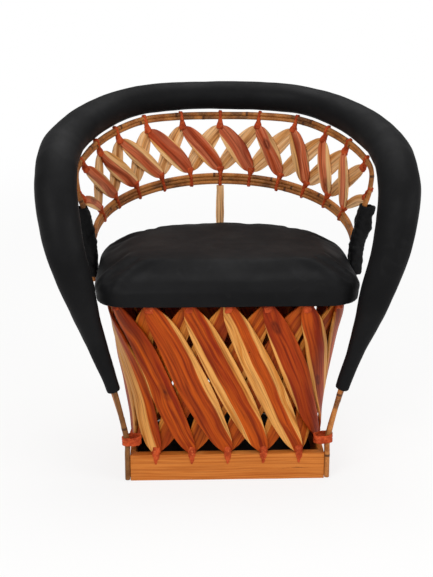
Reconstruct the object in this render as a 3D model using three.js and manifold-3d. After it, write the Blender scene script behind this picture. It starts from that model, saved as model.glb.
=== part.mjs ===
// Barrel chair of split cedar and leather, an equipale.
// Units are millimetres, +Z is up, the sitter faces -Y and +X is on the viewer's right.
// Distances called forward or back are measured from the chair's upright axis.
// From the floor up: a low base of a straight front board and a bent hoop, a barrel of
// crossing slats that stands on it and carries the seat ring, a taut hide and a padded
// seat, an arch of canes inside a padded roll for arms and back, and a lattice of crossing
// slats between two cane hoops behind the sitter.

import * as THREE from 'three';
import { mergeVertices } from 'three/addons/utils/BufferGeometryUtils.js';
import Module from 'manifold-3d';

const wasm = await Module();
wasm.setup();

// Fits
const FIT_GAP = 0.3; // clearance between two pieces that touch
const JOIN_DEPTH = 0.6; // how far a lashing sinks into the piece that carries it

// Base
const BOARD_LENGTH = 408;
const BOARD_HEIGHT = 58;
const BOARD_THICKNESS = 20;
const BOARD_FORWARD = 207; // front face of the board
const BOARD_BEVEL = 1.5;
const HOOP_THICKNESS = 12;
const HOOP_BACK = 184; // outer face of the hoop at the back
const HOOP_ROUND_BACK = 20; // where the hoop's straight sides end
const BASE_CORNER_RADIUS = 50; // where the slats turn from the board to the hoop
const BASE_FRONT_TIE_SPACING = 75;
const BASE_CORNER_TIE_HEIGHT = 84;
const BASE_CORNER_TIE_RUN = 58; // from the last tie of the board to the corner slats
const BASE_SIDE_TIE_RUN = 62; // from the corner slats to the first tie on the hoop

// Barrel slats
const SLAT_COUNT = 18; // ties round the barrel, each with one slat of either layer
const CORNER_TIE = 3; // tie numbers run from the middle of the front, so this is a corner
const TIES_CROSSED_COUNT = 2; // tie spacings that a slat crosses on its way up
const SLAT_WIDTH = 62;
const REAR_SLAT_WIDTH = 66;
const SLAT_THICKNESS = 5;
const SLAT_TIP_WIDTH = 11; // at the foot
const SLAT_HEAD_WIDTH = 21; // under the ring
const SLAT_TIP_THICKNESS = 4;
const SLAT_TIP_OFFSET = 2.5; // tip's middle from the surface that both layers share
const SLAT_OFFSET = 5.6; // the same halfway up, where the two layers cross
const SLAT_EDGE_BEVEL = 2.5;

// Seat
const SEAT_HALF_WIDTH = 268; // at its lower edge
const SEAT_FLARE = 8; // how much wider each side is at the upper edge
const SEAT_FORWARD = 231.5;
const SEAT_BACK = 240;
const SEAT_ROUND_BACK = 48; // where the seat's straight sides end
const SEAT_CORNER_RADIUS = 62;
const SEAT_UNDERSIDE = 386;
const SEAT_EDGE_HEIGHT = 50;
const SEAT_CROWN = 36; // rise of the middle over the upper edge
const SEAT_SKIRT = 9; // leather and padding outside the ring
const SEAT_DRAW_IN = 3; // how far the sides pull in between their edges
const SEAT_EDGE_ROUND = 7;
const HIDE_THICKNESS = 2.7;
const RING_RADIUS = 11;
const RING_CORNER_RADIUS = 75;
const RING_FRONT_TIE_SPACING = 80;
const RING_CORNER_TIE_RUN = 75; // along the ring, from the last tie of its front to the corner tie
const RING_SIDE_TIE_RUN = 84; // from the corner tie to the first one on the side

// Arch of canes and the padded roll around it
const ARCH_HALF_SPAN = 347;
const ARCH_FORWARD = 230;
const ARCH_BACK = 272;
const ARCH_HEIGHT = 743;
const ROLL_THICKNESS = 86;
const ROLL_FLATNESS_SHARE = 0.91; // height of the roll's section over its width
const CANE_RADIUS = 5.5;
const ROLL_BORE_SHARE = 1.35; // half the flat width of the roll's bore over a cane's radius
const FOOT_FORWARD = 200; // middle of the pair of canes at the board's end
const FOOT_CLEARANCE = 3; // canes stop this far above the floor
const FOOT_BEND_HEIGHT = 85; // canes stand upright below this height
const UPRIGHT_HEIGHT = 300; // above it the canes turn their side to the middle of the chair

// Back lattice
const UPPER_TIES_EACH_SIDE = 6; // the lower hoop has one less
const LOWER_TIES_EACH_SIDE = UPPER_TIES_EACH_SIDE - 1;
const HOOP_CANE_RADIUS = 4.8;
const UPPER_TIE_SPACING = 91;
const LOWER_TIE_SPACING = 68.5;
const LOWER_HOOP_BACK = 250;
const LATTICE_HEIGHT = 192; // from the lower hoop up to the middle of the arch's canes
const HOOP_UPRIGHT_RUN = 8; // both hoops stand upright this far above their leather wraps
const HOOP_END_DROP = 11; // from the foot of the wraps down to the ends of the hoops
const HOOP_FACING_HEIGHT = 500; // above it the hoops turn their side to the middle of the chair
const HOOP_ROLL_GAP = 5.5; // between the upper hoop and the roll
const LOWER_END_BACK = 38;
const UPPER_END_BACK = 8;
const BACK_SLAT_WIDTH = 41;
const BACK_SLAT_THICKNESS = 4.4;
const BACK_SLAT_TIP_WIDTH = 9;
const BACK_SLAT_OFFSET = 3.5;
const BACK_SLAT_TIP_OFFSET = 2.3;
const BACK_SLAT_TOP_SETBACK = 24; // tip from the middle of the upper hoop
const BACK_SLAT_FOOT_SETBACK = 21;
const PROP_WIDTH = 18;
const PROP_THICKNESS = 7;
const PROP_DROP = 9; // from the seat's underside down to the foot of the stick

// Leather wraps that bind the hoops' ends to the seat
const WRAP_THICKNESS = 3;
const WRAP_HEIGHT = 58;
const SLEEVE_STEPS = 6; // along the leather that goes on up the upper hoop
const WRAP_RISE = 2; // from the seat's underside up to the foot of the wraps

// Rawhide lashings
const LASH_THICKNESS = 2.2;
const LASH_HALF_WIDTH = 10;
const LASH_TAIL_HALF_WIDTH = 3.5;
const LASH_TAIL = 22; // down the face of the board or the hoop
const LASH_RISE = 12; // over the tips of the slats
const LASH_STANDOFF = 2.7; // between a lashing and the face of a slat's tip
const BACK_LASH_HALF_WIDTH = 7;
const BACK_LASH_STANDOFF = 1.2;

// Shapes, as shares of the sizes above
const SLAT_STATION_SHARES = [0, 0.06, 0.17, 0.34, 0.52, 0.72, 0.89, 1];
const BACK_SLAT_STATION_SHARES = [0, 0.1, 0.28, 0.5, 0.72, 0.9, 1];
const LEAF_SHARE = 0.5; // below one, a slat keeps its width longer
// Widths of the outer slats from the left front corner round, mirrored for the inner ones
const SLAT_WIDTH_SHARES = [
  0.95, 0.89, 0.86, 1.06, 1.04, 0.97, 0.9, 0.84, 0.88, 1, 0.96, 1.04, 1, 0.94, 1.02, 0.98, 1, 0.94,
];
// Widths of the front slats of the back from left to right, mirrored for the rear ones
const BACK_SLAT_WIDTH_SHARES = [0.58, 0.84, 1.02, 0.95, 1.05, 0.98, 1.03, 0.94, 1, 0.96, 0.88];
const OFFSET_LEAF_SHARE = 0.4; // lower than the other, as the layers part close to the tips
// Side, depth, height and thickness of the arch from the leather's end to the middle of the back
const ARCH_SHARES = [
  [0.677, 0.036, 0.276, 0.36],
  [0.755, 0.016, 0.401, 0.5],
  [0.837, 0.0, 0.525, 0.74],
  [0.945, 0.008, 0.693, 0.93],
  [0.99, 0.075, 0.808, 1.0],
  [1.0, 0.18, 0.868, 1.0],
  [0.997, 0.336, 0.899, 1.0],
  [0.95, 0.514, 0.929, 0.97],
  [0.79, 0.751, 0.966, 0.9],
  [0.565, 0.9, 0.992, 0.84],
  [0.3, 0.976, 0.999, 0.82],
  [0, 1, 1, 0.82],
];
// Where the upper hoop leaves the roll and drops to the seat: side and height over those of
// the arch, and distance back over the depth of the hoop's end
const HOOP_DROP_SHARES = [
  [0.85, 0.2, 0.7],
  [0.895, -0.3, 0.774],
  [0.9, -0.2, 0.837],
];
// How far round the roll, from its underside to its inner side, the upper hoop lies
const HOOP_SEAT_ANGLE_SHARES = [0.45, 0.38, 0.32, 0.26, 0.22];
// Crown of the seat: size of each outline and its rise
const CROWN_SHARES = [
  [0.94, 0.3],
  [0.78, 0.68],
  [0.52, 0.9],
  [0.2, 1],
];
const LOWER_HOOP_TURN_SHARES = [0.06, 0.16, 0.3, 0.46, 0.64, 0.82];
const LOWER_HOOP_RISE_SHARE = 0.8; // below one, the hoop rises sooner from its ends
// Stretch of the upper hoop that leather covers, in points of its curve from its end
const SLEEVE_SHARES = [0.9, 3.4];
const TIE_CROWDING_SHARE = 0.08; // how much closer the last ties of the back come than even spacing
// Steps over which a lattice's directions are measured
const NUMBER_NUDGE_SHARE = 0.2;
const HEIGHT_NUDGE_SHARE = 0.04;

// Worked out from the sizes above
const BOARD_MIDDLE = -BOARD_FORWARD + BOARD_THICKNESS / 2;
const BASE_HALF_WIDTH = BOARD_LENGTH / 2 - HOOP_THICKNESS / 2; // middle of the hoop's wall
const RING_INSET = SEAT_SKIRT + FIT_GAP + RING_RADIUS;
const RING_HALF_WIDTH = SEAT_HALF_WIDTH - RING_INSET;
const RING_HEIGHT = SEAT_UNDERSIDE + FIT_GAP + RING_RADIUS;
const SEAT_EDGE = SEAT_UNDERSIDE + SEAT_EDGE_HEIGHT;
const WRAP_FOOT_HEIGHT = SEAT_UNDERSIDE + WRAP_RISE;
const HOOP_END_HEIGHT = WRAP_FOOT_HEIGHT - HOOP_END_DROP;
const HOOP_UPRIGHT_HEIGHT = WRAP_FOOT_HEIGHT + WRAP_HEIGHT + HOOP_UPRIGHT_RUN;
const LOWER_HOOP_HEIGHT = ARCH_HEIGHT - LATTICE_HEIGHT;
const CANE_PITCH = Math.sqrt(3) * CANE_RADIUS; // from one cane of a bundle to the next
const HOOP_CANE_PITCH = Math.sqrt(3) * HOOP_CANE_RADIUS;
const HIDE_UNDERSIDE = RING_HEIGHT + RING_RADIUS + FIT_GAP;
const HOOP_END_SIDE = SEAT_HALF_WIDTH + SEAT_FLARE + FIT_GAP + WRAP_THICKNESS + FIT_GAP + HOOP_CANE_RADIUS;

// Round sections and how finely they are cut
const TUBE_SIDES = 6;
const WRAP_DIVISIONS = 4;
const ROLL_SIDES = 10;
const ROUND_DIVISIONS = 14;
const CORNER_DIVISIONS = 4;
const ARCH_STEPS_PER_POINT = 2;
const HOOP_STEPS = 32;

const UP = new THREE.Vector3(0, 0, 1);

const LEATHER = new THREE.MeshStandardMaterial({ color: 0x1f1f20, roughness: 0.62, metalness: 0 });
const HEARTWOOD = new THREE.MeshStandardMaterial({ color: 0xb5541c, roughness: 0.55, metalness: 0 });
const SAPWOOD = new THREE.MeshStandardMaterial({ color: 0xd0833a, roughness: 0.6, metalness: 0 });
const PINE = new THREE.MeshStandardMaterial({ color: 0xc98245, roughness: 0.6, metalness: 0 });
const CANE = new THREE.MeshStandardMaterial({ color: 0xa9713f, roughness: 0.5, metalness: 0 });
const HIDE = new THREE.MeshStandardMaterial({ color: 0xc4552b, roughness: 0.7, metalness: 0 });

const chair = new THREE.Group();

function addPiece(name, geometry, material) {
  const mesh = new THREE.Mesh(geometry, material);
  mesh.name = name;
  chair.add(mesh);
}

function twoDigits(number) {
  return String(number).padStart(2, '0');
}

// Solids

// Triangles that close a ring, laid in a strip between its two sides, so that a notched
// outline closes as well as a round one. The first side may start at a single end point.
function capTriangles(count, endPoint) {
  const triangles = [];
  const last = endPoint ? count : count - 1;
  for (let i = 0; i < last / 2; i++) {
    const facing = last - i;
    triangles.push([i, i + 1, facing % count], [i + 1, facing - 1, facing % count]);
  }
  return triangles.filter(([a, b, c]) => a !== b && b !== c && c !== a);
}

// A closed body through rings of equally many points, with flat ends or joined end to end
function loft(rings, endless = false, endPoint = false) {
  const count = rings[0].length;
  const index = [];
  const spans = endless ? rings.length : rings.length - 1;
  for (let i = 0; i < spans; i++) {
    const here = i * count;
    const there = ((i + 1) % rings.length) * count;
    for (let j = 0; j < count; j++) {
      const k = (j + 1) % count;
      index.push(here + j, here + k, there + k, here + j, there + k, there + j);
    }
  }
  if (!endless) {
    const last = (rings.length - 1) * count;
    capTriangles(count, endPoint).forEach(([a, b, c]) => index.push(c, b, a, last + a, last + b, last + c));
  }
  const geometry = new THREE.BufferGeometry();
  const positions = rings.flat().flatMap((point) => point.toArray());
  geometry.setAttribute('position', new THREE.Float32BufferAttribute(positions, 3));
  geometry.setIndex(index);
  return facingOut(geometry);
}

// Turns the faces round if they point into the body
function facingOut(geometry) {
  const points = geometry.attributes.position;
  const index = geometry.index.array;
  const [a, b, c] = [new THREE.Vector3(), new THREE.Vector3(), new THREE.Vector3()];
  let volume = 0;
  for (let i = 0; i < index.length; i += 3) {
    a.fromBufferAttribute(points, index[i]);
    b.fromBufferAttribute(points, index[i + 1]);
    c.fromBufferAttribute(points, index[i + 2]);
    volume += a.dot(b.cross(c));
  }
  if (volume < 0) {
    geometry.setIndex(Array.from(index).reverse());
  }
  return geometry;
}

function toSolid(geometry) {
  const bare = geometry.clone();
  bare.deleteAttribute('normal');
  bare.deleteAttribute('uv');
  const merged = mergeVertices(bare);
  const vertProperties = new Float32Array(merged.attributes.position.array);
  const triVerts = new Uint32Array(merged.index.array);
  return new wasm.Manifold(new wasm.Mesh({ numProp: 3, vertProperties, triVerts }));
}

function toGeometry(solid) {
  const mesh = solid.getMesh();
  const geometry = new THREE.BufferGeometry();
  geometry.setAttribute('position', new THREE.BufferAttribute(mesh.vertProperties, 3));
  geometry.setIndex(new THREE.BufferAttribute(mesh.triVerts, 1));
  return geometry;
}

function joined(geometries) {
  const solids = geometries.map(toSolid);
  return toGeometry(solids.reduce((whole, solid) => whole.add(solid)));
}

// Plan outlines, all seen from above

// Right side, round back and left side of a D that is open at the front
function rearRun(halfWidth, start, roundStart, back) {
  const path = new THREE.Path();
  path.moveTo(halfWidth, start);
  path.lineTo(halfWidth, roundStart);
  path.absellipse(0, roundStart, halfWidth, back - roundStart, 0, Math.PI, false, 0);
  path.lineTo(-halfWidth, start);
  return path;
}

// A whole D with round front corners, from the middle of its front round to the right
function wholeOutline(halfWidth, forward, radius, roundStart, back) {
  const path = new THREE.Path();
  path.moveTo(0, -forward);
  path.lineTo(halfWidth - radius, -forward);
  path.absarc(halfWidth - radius, radius - forward, radius, -Math.PI / 2, 0, false);
  path.lineTo(halfWidth, roundStart);
  path.absellipse(0, roundStart, halfWidth, back - roundStart, 0, Math.PI / 2, false, 0);
  path.absellipse(0, roundStart, halfWidth, back - roundStart, Math.PI / 2, Math.PI, false, 0);
  path.lineTo(-halfWidth, radius - forward);
  path.absarc(radius - halfWidth, radius - forward, radius, Math.PI, 1.5 * Math.PI, false);
  path.lineTo(0, -forward);
  return path;
}

function seatOutline(inset, flare = 0) {
  return wholeOutline(
    SEAT_HALF_WIDTH + flare - inset,
    SEAT_FORWARD - inset,
    SEAT_CORNER_RADIUS - inset,
    SEAT_ROUND_BACK,
    SEAT_BACK - inset,
  );
}

function ringOutline(inset) {
  return wholeOutline(
    RING_HALF_WIDTH - inset,
    SEAT_FORWARD - RING_INSET - inset,
    RING_CORNER_RADIUS - inset,
    SEAT_ROUND_BACK,
    SEAT_BACK - RING_INSET - inset,
  );
}

// Points round an outline at a height, drawn in or out by a scale
function loopOf(outline, height, scale = 1) {
  const ring = [];
  outline
    .getPoints(CORNER_DIVISIONS)
    .forEach((point) => {
      const place = new THREE.Vector3(point.x * scale, point.y * scale, height);
      const last = ring[ring.length - 1];
      if (!last || place.distanceTo(last) > FIT_GAP) {
        ring.push(place);
      }
    });
  if (ring[0].distanceTo(ring[ring.length - 1]) < FIT_GAP) {
    ring.pop();
  }
  return ring;
}

// Places on a closed outline by tie number, which runs from the middle of the front. Ties are
// evenly spaced along the front, have their own spacing on either side of the corner, and
// share out the rest of the way round.
function tieOutline(path, spacing, cornerRun, sideRun, height) {
  const whole = path.getLength();
  const stops = [0];
  for (let i = 1; i < CORNER_TIE; i++) {
    stops.push(i * spacing);
  }
  stops.push(stops[CORNER_TIE - 1] + cornerRun);
  stops.push(stops[CORNER_TIE] + sideRun);
  const first = stops.length - 1;
  const last = SLAT_COUNT / 2;
  for (let i = first + 1; i <= last; i++) {
    stops.push(stops[first] + ((i - first) * (whole / 2 - stops[first])) / (last - first));
  }
  return (number) => {
    const wrapped = THREE.MathUtils.euclideanModulo(number + last, SLAT_COUNT) - last;
    const before = Math.min(Math.floor(Math.abs(wrapped)), last - 1);
    const part = Math.abs(wrapped) - before;
    const distance = stops[before] + (stops[before + 1] - stops[before]) * part;
    const share = THREE.MathUtils.euclideanModulo((Math.sign(wrapped) * distance) / whole, 1);
    const point = path.getPoint(share);
    return new THREE.Vector3(point.x, point.y, height);
  };
}

function baseTies() {
  const path = wholeOutline(
    BASE_HALF_WIDTH,
    -BOARD_MIDDLE,
    BASE_CORNER_RADIUS,
    HOOP_ROUND_BACK,
    HOOP_BACK - HOOP_THICKNESS / 2,
  );
  const height = BOARD_HEIGHT + FIT_GAP;
  return tieOutline(path, BASE_FRONT_TIE_SPACING, BASE_CORNER_TIE_RUN, BASE_SIDE_TIE_RUN, height);
}

function ringTies() {
  const path = ringOutline(0);
  const height = RING_HEIGHT - RING_RADIUS - FIT_GAP;
  return tieOutline(path, RING_FRONT_TIE_SPACING, RING_CORNER_TIE_RUN, RING_SIDE_TIE_RUN, height);
}

// The surface between a lattice's two layers. Straight lines from the lower rim to the upper
// one, a few ties along it one way or the other, cross near this surface, which is their mean.
function latticeSurface(lower, upper, step) {
  return (number, share) => {
    const forth = lower(number - step * share).lerp(upper(number + step * (1 - share)), share);
    const back = lower(number + step * share).lerp(upper(number - step * (1 - share)), share);
    return forth.add(back).multiplyScalar(0.5);
  };
}

// Directions at a place on a lattice: along its rims, up it, and the way that it faces
function directionsOn(surface, number, share) {
  const across = surface(number + NUMBER_NUDGE_SHARE, share).sub(surface(number - NUMBER_NUDGE_SHARE, share));
  const low = Math.max(share - HEIGHT_NUDGE_SHARE, 0);
  const high = Math.min(share + HEIGHT_NUDGE_SHARE, 1);
  const rise = surface(number, high).sub(surface(number, low)).normalize();
  across.normalize();
  return { across, rise, facing: across.clone().cross(rise).normalize() };
}

// Slats

// How a leaf-shaped slat's half width, half thickness and distance from the shared surface
// change on the way from tip to tip
function leafAt(size, station) {
  const swell = Math.sin(Math.PI * station) ** LEAF_SHARE;
  const tipWidth = station < 0.5 ? size.tipWidth : size.headWidth;
  const parting = Math.sin(Math.PI * station) ** OFFSET_LEAF_SHARE;
  return {
    half: THREE.MathUtils.lerp(tipWidth, size.width, swell) / 2,
    thick: THREE.MathUtils.lerp(size.tipThickness, size.thickness, swell) / 2,
    offset: THREE.MathUtils.lerp(size.tipOffset, size.offset, parting),
  };
}

function unitRise(surface, numberAt, share) {
  const ahead = surface(numberAt(share + HEIGHT_NUDGE_SHARE), share + HEIGHT_NUDGE_SHARE);
  const behind = surface(numberAt(share - HEIGHT_NUDGE_SHARE), share - HEIGHT_NUDGE_SHARE);
  return ahead.sub(behind).normalize();
}

// A slat of the barrel: it runs up from one tie number to another, its sections are level and
// bend with the barrel, so that its tips lie flat on the base and under the ring
function barrelSlat(surface, number, step, layer, size, from) {
  const numberAt = (share) => number + step * share;
  const rings = SLAT_STATION_SHARES.map((station) => {
    const share = from + (1 - from) * station;
    const { half, thick, offset } = leafAt(size, station);
    const middle = numberAt(share);
    const tieWidth =
      surface(middle + NUMBER_NUDGE_SHARE, share).distanceTo(surface(middle - NUMBER_NUDGE_SHARE, share)) /
      (2 * NUMBER_NUDGE_SHARE);
    const axis = unitRise(surface, numberAt, share);
    const lean = Math.sqrt(1 - axis.dot(directionsOn(surface, middle, share).across) ** 2);
    const edge = half / lean;
    const bevel = Math.min(SLAT_EDGE_BEVEL, half / 2);
    const section = [
      [-edge, 0],
      [-edge + bevel, thick],
      [0, thick],
      [edge - bevel, thick],
      [edge, 0],
      [edge - bevel, -thick],
      [0, -thick],
      [-edge + bevel, -thick],
    ];
    return section.map(([u, v]) => {
      const place = middle + u / tieWidth;
      const out = directionsOn(surface, place, share).across.cross(UP).normalize();
      return surface(place, share).addScaledVector(out, layer * offset + v);
    });
  });
  return loft(rings);
}

// Ties are numbered for their names from the left front corner round to the right
function addBarrel(surface) {
  const cornerShare = (BASE_CORNER_TIE_HEIGHT - BOARD_HEIGHT) / (RING_HEIGHT - RING_RADIUS - BOARD_HEIGHT);
  for (let k = 0; k < SLAT_COUNT; k++) {
    const number = k - CORNER_TIE;
    const from = Math.abs(number) === CORNER_TIE ? cornerShare : 0;
    const nominal = Math.abs(number) <= CORNER_TIE ? SLAT_WIDTH : REAR_SLAT_WIDTH;
    const size = {
      width: nominal * SLAT_WIDTH_SHARES[k],
      thickness: SLAT_THICKNESS,
      tipWidth: SLAT_TIP_WIDTH,
      headWidth: SLAT_HEAD_WIDTH,
      tipThickness: SLAT_TIP_THICKNESS,
      tipOffset: SLAT_TIP_OFFSET,
      offset: SLAT_OFFSET,
    };
    const mirrorWidth = nominal * SLAT_WIDTH_SHARES[(2 * CORNER_TIE - k + SLAT_COUNT) % SLAT_COUNT];
    const outer = barrelSlat(surface, number, -TIES_CROSSED_COUNT, 1, size, from);
    const inner = barrelSlat(surface, number, TIES_CROSSED_COUNT, -1, { ...size, width: mirrorWidth }, from);
    addPiece(`barrel_outer_slat_${twoDigits(k + 1)}`, outer, HEARTWOOD);
    addPiece(`barrel_inner_slat_${twoDigits(k + 1)}`, inner, SAPWOOD);
  }
}

// Lashings

// A flat strap through rows that each give a middle, the way out, the strap's near and far
// faces on that side and half its width
function strap(across, rows) {
  const rings = rows.map(([middle, out, near, far, half]) =>
    [
      [near, -half],
      [far, -half],
      [far, half],
      [near, half],
    ].map(([depth, side]) => middle.clone().addScaledVector(out, depth).addScaledVector(across, side)),
  );
  return loft(rings);
}

// The two straps, in front of the slats' tips and behind them, that hold a tie to the base
function baseLashing(surface, number, halfThickness) {
  const rim = surface(number, 0);
  rim.z = BOARD_HEIGHT;
  const tail = rim.clone().addScaledVector(UP, -LASH_TAIL);
  const top = surface(number, LASH_RISE / (RING_HEIGHT - RING_RADIUS - BOARD_HEIGHT));
  const { across } = directionsOn(surface, number, 0);
  const near = halfThickness - JOIN_DEPTH;
  const face = halfThickness + LASH_THICKNESS;
  const tip = SLAT_TIP_OFFSET + SLAT_TIP_THICKNESS / 2 + LASH_STANDOFF;
  return [1, -1].map((side) => {
    const out = across.clone().cross(UP).multiplyScalar(side);
    return strap(across, [
      [tail, out, near, face, LASH_TAIL_HALF_WIDTH],
      [rim, out, near, face, LASH_HALF_WIDTH],
      [top, out, tip, tip + LASH_THICKNESS, LASH_HALF_WIDTH],
    ]);
  });
}

function ringLashing(surface, number) {
  const rim = surface(number, 1);
  const foot = surface(number, 1 - LASH_RISE / (RING_HEIGHT - RING_RADIUS - BOARD_HEIGHT));
  const head = rim.clone().addScaledVector(UP, RING_RADIUS / 2);
  const { across } = directionsOn(surface, number, 1);
  const tip = SLAT_TIP_OFFSET + SLAT_TIP_THICKNESS / 2 + LASH_STANDOFF;
  return [1, -1].map((side) => {
    const out = across.clone().cross(UP).multiplyScalar(side);
    return strap(across, [
      [head, out, tip / 2, tip / 2 + LASH_THICKNESS, LASH_HALF_WIDTH],
      [rim, out, tip, tip + LASH_THICKNESS, LASH_HALF_WIDTH],
      [foot, out, tip, tip + LASH_THICKNESS, LASH_HALF_WIDTH],
    ]);
  });
}

// Base

function addBase(surface) {
  const flat = new THREE.Shape();
  const halfLength = BOARD_LENGTH / 2 - BOARD_BEVEL;
  flat.moveTo(-halfLength, BOARD_BEVEL);
  flat.lineTo(halfLength, BOARD_BEVEL);
  flat.lineTo(halfLength, BOARD_HEIGHT - BOARD_BEVEL);
  flat.lineTo(-halfLength, BOARD_HEIGHT - BOARD_BEVEL);
  const board = new THREE.ExtrudeGeometry(flat, {
    depth: BOARD_THICKNESS - 2 * BOARD_BEVEL,
    bevelThickness: BOARD_BEVEL,
    bevelSize: BOARD_BEVEL,
    bevelSegments: 1,
  });
  board.rotateX(Math.PI / 2);
  board.translate(0, -BOARD_FORWARD + BOARD_THICKNESS - BOARD_BEVEL, 0);
  const boardLashings = [];
  for (let number = 1 - CORNER_TIE; number < CORNER_TIE; number++) {
    boardLashings.push(...baseLashing(surface, number, BOARD_THICKNESS / 2));
  }
  addPiece('base_front_board', joined([board, ...boardLashings]), PINE);

  const start = -BOARD_FORWARD + BOARD_THICKNESS + FIT_GAP;
  const outside = rearRun(BOARD_LENGTH / 2, start, HOOP_ROUND_BACK, HOOP_BACK);
  const inside = rearRun(BOARD_LENGTH / 2 - HOOP_THICKNESS, start, HOOP_ROUND_BACK, HOOP_BACK - HOOP_THICKNESS);
  const outline = new THREE.Shape([
    ...outside.getPoints(ROUND_DIVISIONS),
    ...inside.getPoints(ROUND_DIVISIONS).reverse(),
  ]);
  const hoop = new THREE.ExtrudeGeometry(outline, { depth: BOARD_HEIGHT, bevelEnabled: false });
  const hoopLashings = [];
  for (let number = CORNER_TIE + 1; number < SLAT_COUNT - CORNER_TIE; number++) {
    hoopLashings.push(...baseLashing(surface, number, HOOP_THICKNESS / 2));
  }
  addPiece('base_hoop', joined([hoop, ...hoopLashings]), PINE);
}

// Seat: ring, taut hide and padded cushion

function addSeat(surface) {
  const rings = [];
  for (let j = 0; j < TUBE_SIDES; j++) {
    const turn = (j * 2 * Math.PI) / TUBE_SIDES;
    const inset = -RING_RADIUS * Math.cos(turn);
    rings.push(loopOf(ringOutline(inset), RING_HEIGHT + RING_RADIUS * Math.sin(turn)));
  }
  const lashings = [];
  for (let number = 0; number < SLAT_COUNT; number++) {
    lashings.push(...ringLashing(surface, number));
  }
  addPiece('seat_ring', joined([loft(rings, true), ...lashings]), HIDE);

  const hideTop = HIDE_UNDERSIDE + HIDE_THICKNESS;
  const hide = loft([loopOf(ringOutline(-RING_RADIUS / 2), HIDE_UNDERSIDE), loopOf(ringOutline(-RING_RADIUS / 2), hideTop)]);
  addPiece('seat_hide', hide, HIDE);

  const ceiling = hideTop + FIT_GAP;
  const crown = CROWN_SHARES.map(([size, rise]) =>
    loopOf(seatOutline(0, SEAT_FLARE), SEAT_EDGE + SEAT_CROWN * rise, size),
  );
  const cushion = loft([
    loopOf(seatOutline(SEAT_SKIRT), ceiling),
    loopOf(seatOutline(SEAT_SKIRT), SEAT_UNDERSIDE),
    loopOf(seatOutline(SEAT_DRAW_IN), SEAT_UNDERSIDE),
    loopOf(seatOutline(0), SEAT_UNDERSIDE + SEAT_EDGE_ROUND),
    loopOf(seatOutline(SEAT_DRAW_IN, SEAT_FLARE / 2), SEAT_UNDERSIDE + SEAT_EDGE_HEIGHT / 2),
    loopOf(seatOutline(0, SEAT_FLARE), SEAT_EDGE - SEAT_EDGE_ROUND),
    loopOf(seatOutline(SEAT_EDGE_ROUND / 2, SEAT_FLARE), SEAT_EDGE),
    ...crown,
  ]);
  addPiece('seat_cushion', cushion, LEATHER);
}

// Curves in space and the sections that run along them

// Frames along a curve: the way out of the chair, and the third direction square to both.
// Below the low height out is straight sideways, above the high one away from the middle.
function framesAlong(curve, shares, low, high) {
  return shares.map((share) => {
    const point = curve.getPoint(share);
    const tangent = curve.getTangent(share);
    const lift = THREE.MathUtils.smoothstep(point.z, low, high);
    const out = new THREE.Vector3(point.x, point.y * lift, 0);
    out.addScaledVector(tangent, -out.dot(tangent)).normalize();
    const third = tangent.clone().cross(out).normalize();
    return { point, tangent, out, third, share };
  });
}

function archFrames(shares) {
  return framesAlong(archCurve, shares, FOOT_BEND_HEIGHT, UPRIGHT_HEIGHT);
}

function hoopFrames(curve, shares) {
  return framesAlong(curve, shares, HOOP_UPRIGHT_HEIGHT, HOOP_FACING_HEIGHT);
}

function evenShares(first, last, steps) {
  const shares = [];
  for (let i = 0; i <= steps; i++) {
    shares.push(first + ((last - first) * i) / steps);
  }
  return shares;
}

function sectionAt(frame, section) {
  return section.map(([u, v]) =>
    frame.point.clone().addScaledVector(frame.out, u).addScaledVector(frame.third, v),
  );
}

// Outline of canes lying side by side along the second direction
function bundleSection(count, radius) {
  const pitch = Math.sqrt(3) * radius;
  const side = [];
  for (let i = 0; i < count; i++) {
    const middle = (i - (count - 1) / 2) * pitch;
    side.push([radius, middle]);
    if (i < count - 1) {
      side.push([radius / 2, middle + pitch / 2]);
    }
  }
  const back = side.map(([u, v]) => [-u, v]).reverse();
  const end = ((count - 1) / 2) * pitch + radius;
  return [[0, -end], ...side, [0, end], ...back];
}

function ellipseSection(halfOut, halfThird, sides) {
  const section = [];
  for (let j = 0; j < sides; j++) {
    const turn = -Math.PI / 2 + (j * 2 * Math.PI) / sides;
    section.push([halfOut * Math.cos(turn), halfThird * Math.sin(turn)]);
  }
  return section;
}

function mirrored(points) {
  const left = points.slice(0, -1).map((point) => new THREE.Vector3(-point.x, point.y, point.z));
  return [...left, ...points.slice().reverse()];
}

// Arch of canes and the padded roll

const archDepth = ARCH_FORWARD + ARCH_BACK;
const footSide = BOARD_LENGTH / 2 + FIT_GAP + CANE_RADIUS;
const feet = [
  new THREE.Vector3(footSide, -FOOT_FORWARD, FOOT_CLEARANCE),
  new THREE.Vector3(footSide, -FOOT_FORWARD, BOARD_HEIGHT),
  new THREE.Vector3(footSide, -FOOT_FORWARD, FOOT_BEND_HEIGHT),
];
const archPoints = ARCH_SHARES.map(
  ([side, depth, height]) =>
    new THREE.Vector3(side * ARCH_HALF_SPAN, -ARCH_FORWARD + depth * archDepth, height * ARCH_HEIGHT),
);
const archCurve = new THREE.CatmullRomCurve3(mirrored([...feet, ...archPoints]));
const thickness = ARCH_SHARES.map(([, , , thick]) => new THREE.Vector3(0, 0, thick * ROLL_THICKNESS));
const thinnest = feet.map(() => thickness[0]);
const thicknessCurve = new THREE.CatmullRomCurve3(mirrored([...thinnest, ...thickness]));
const archLast = 2 * (feet.length + archPoints.length - 1);
const archShare = (index) => index / archLast;

function rollSection(share) {
  const half = thicknessCurve.getPoint(share).z / 2;
  return { halfOut: half, halfThird: half * ROLL_FLATNESS_SHARE };
}

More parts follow.
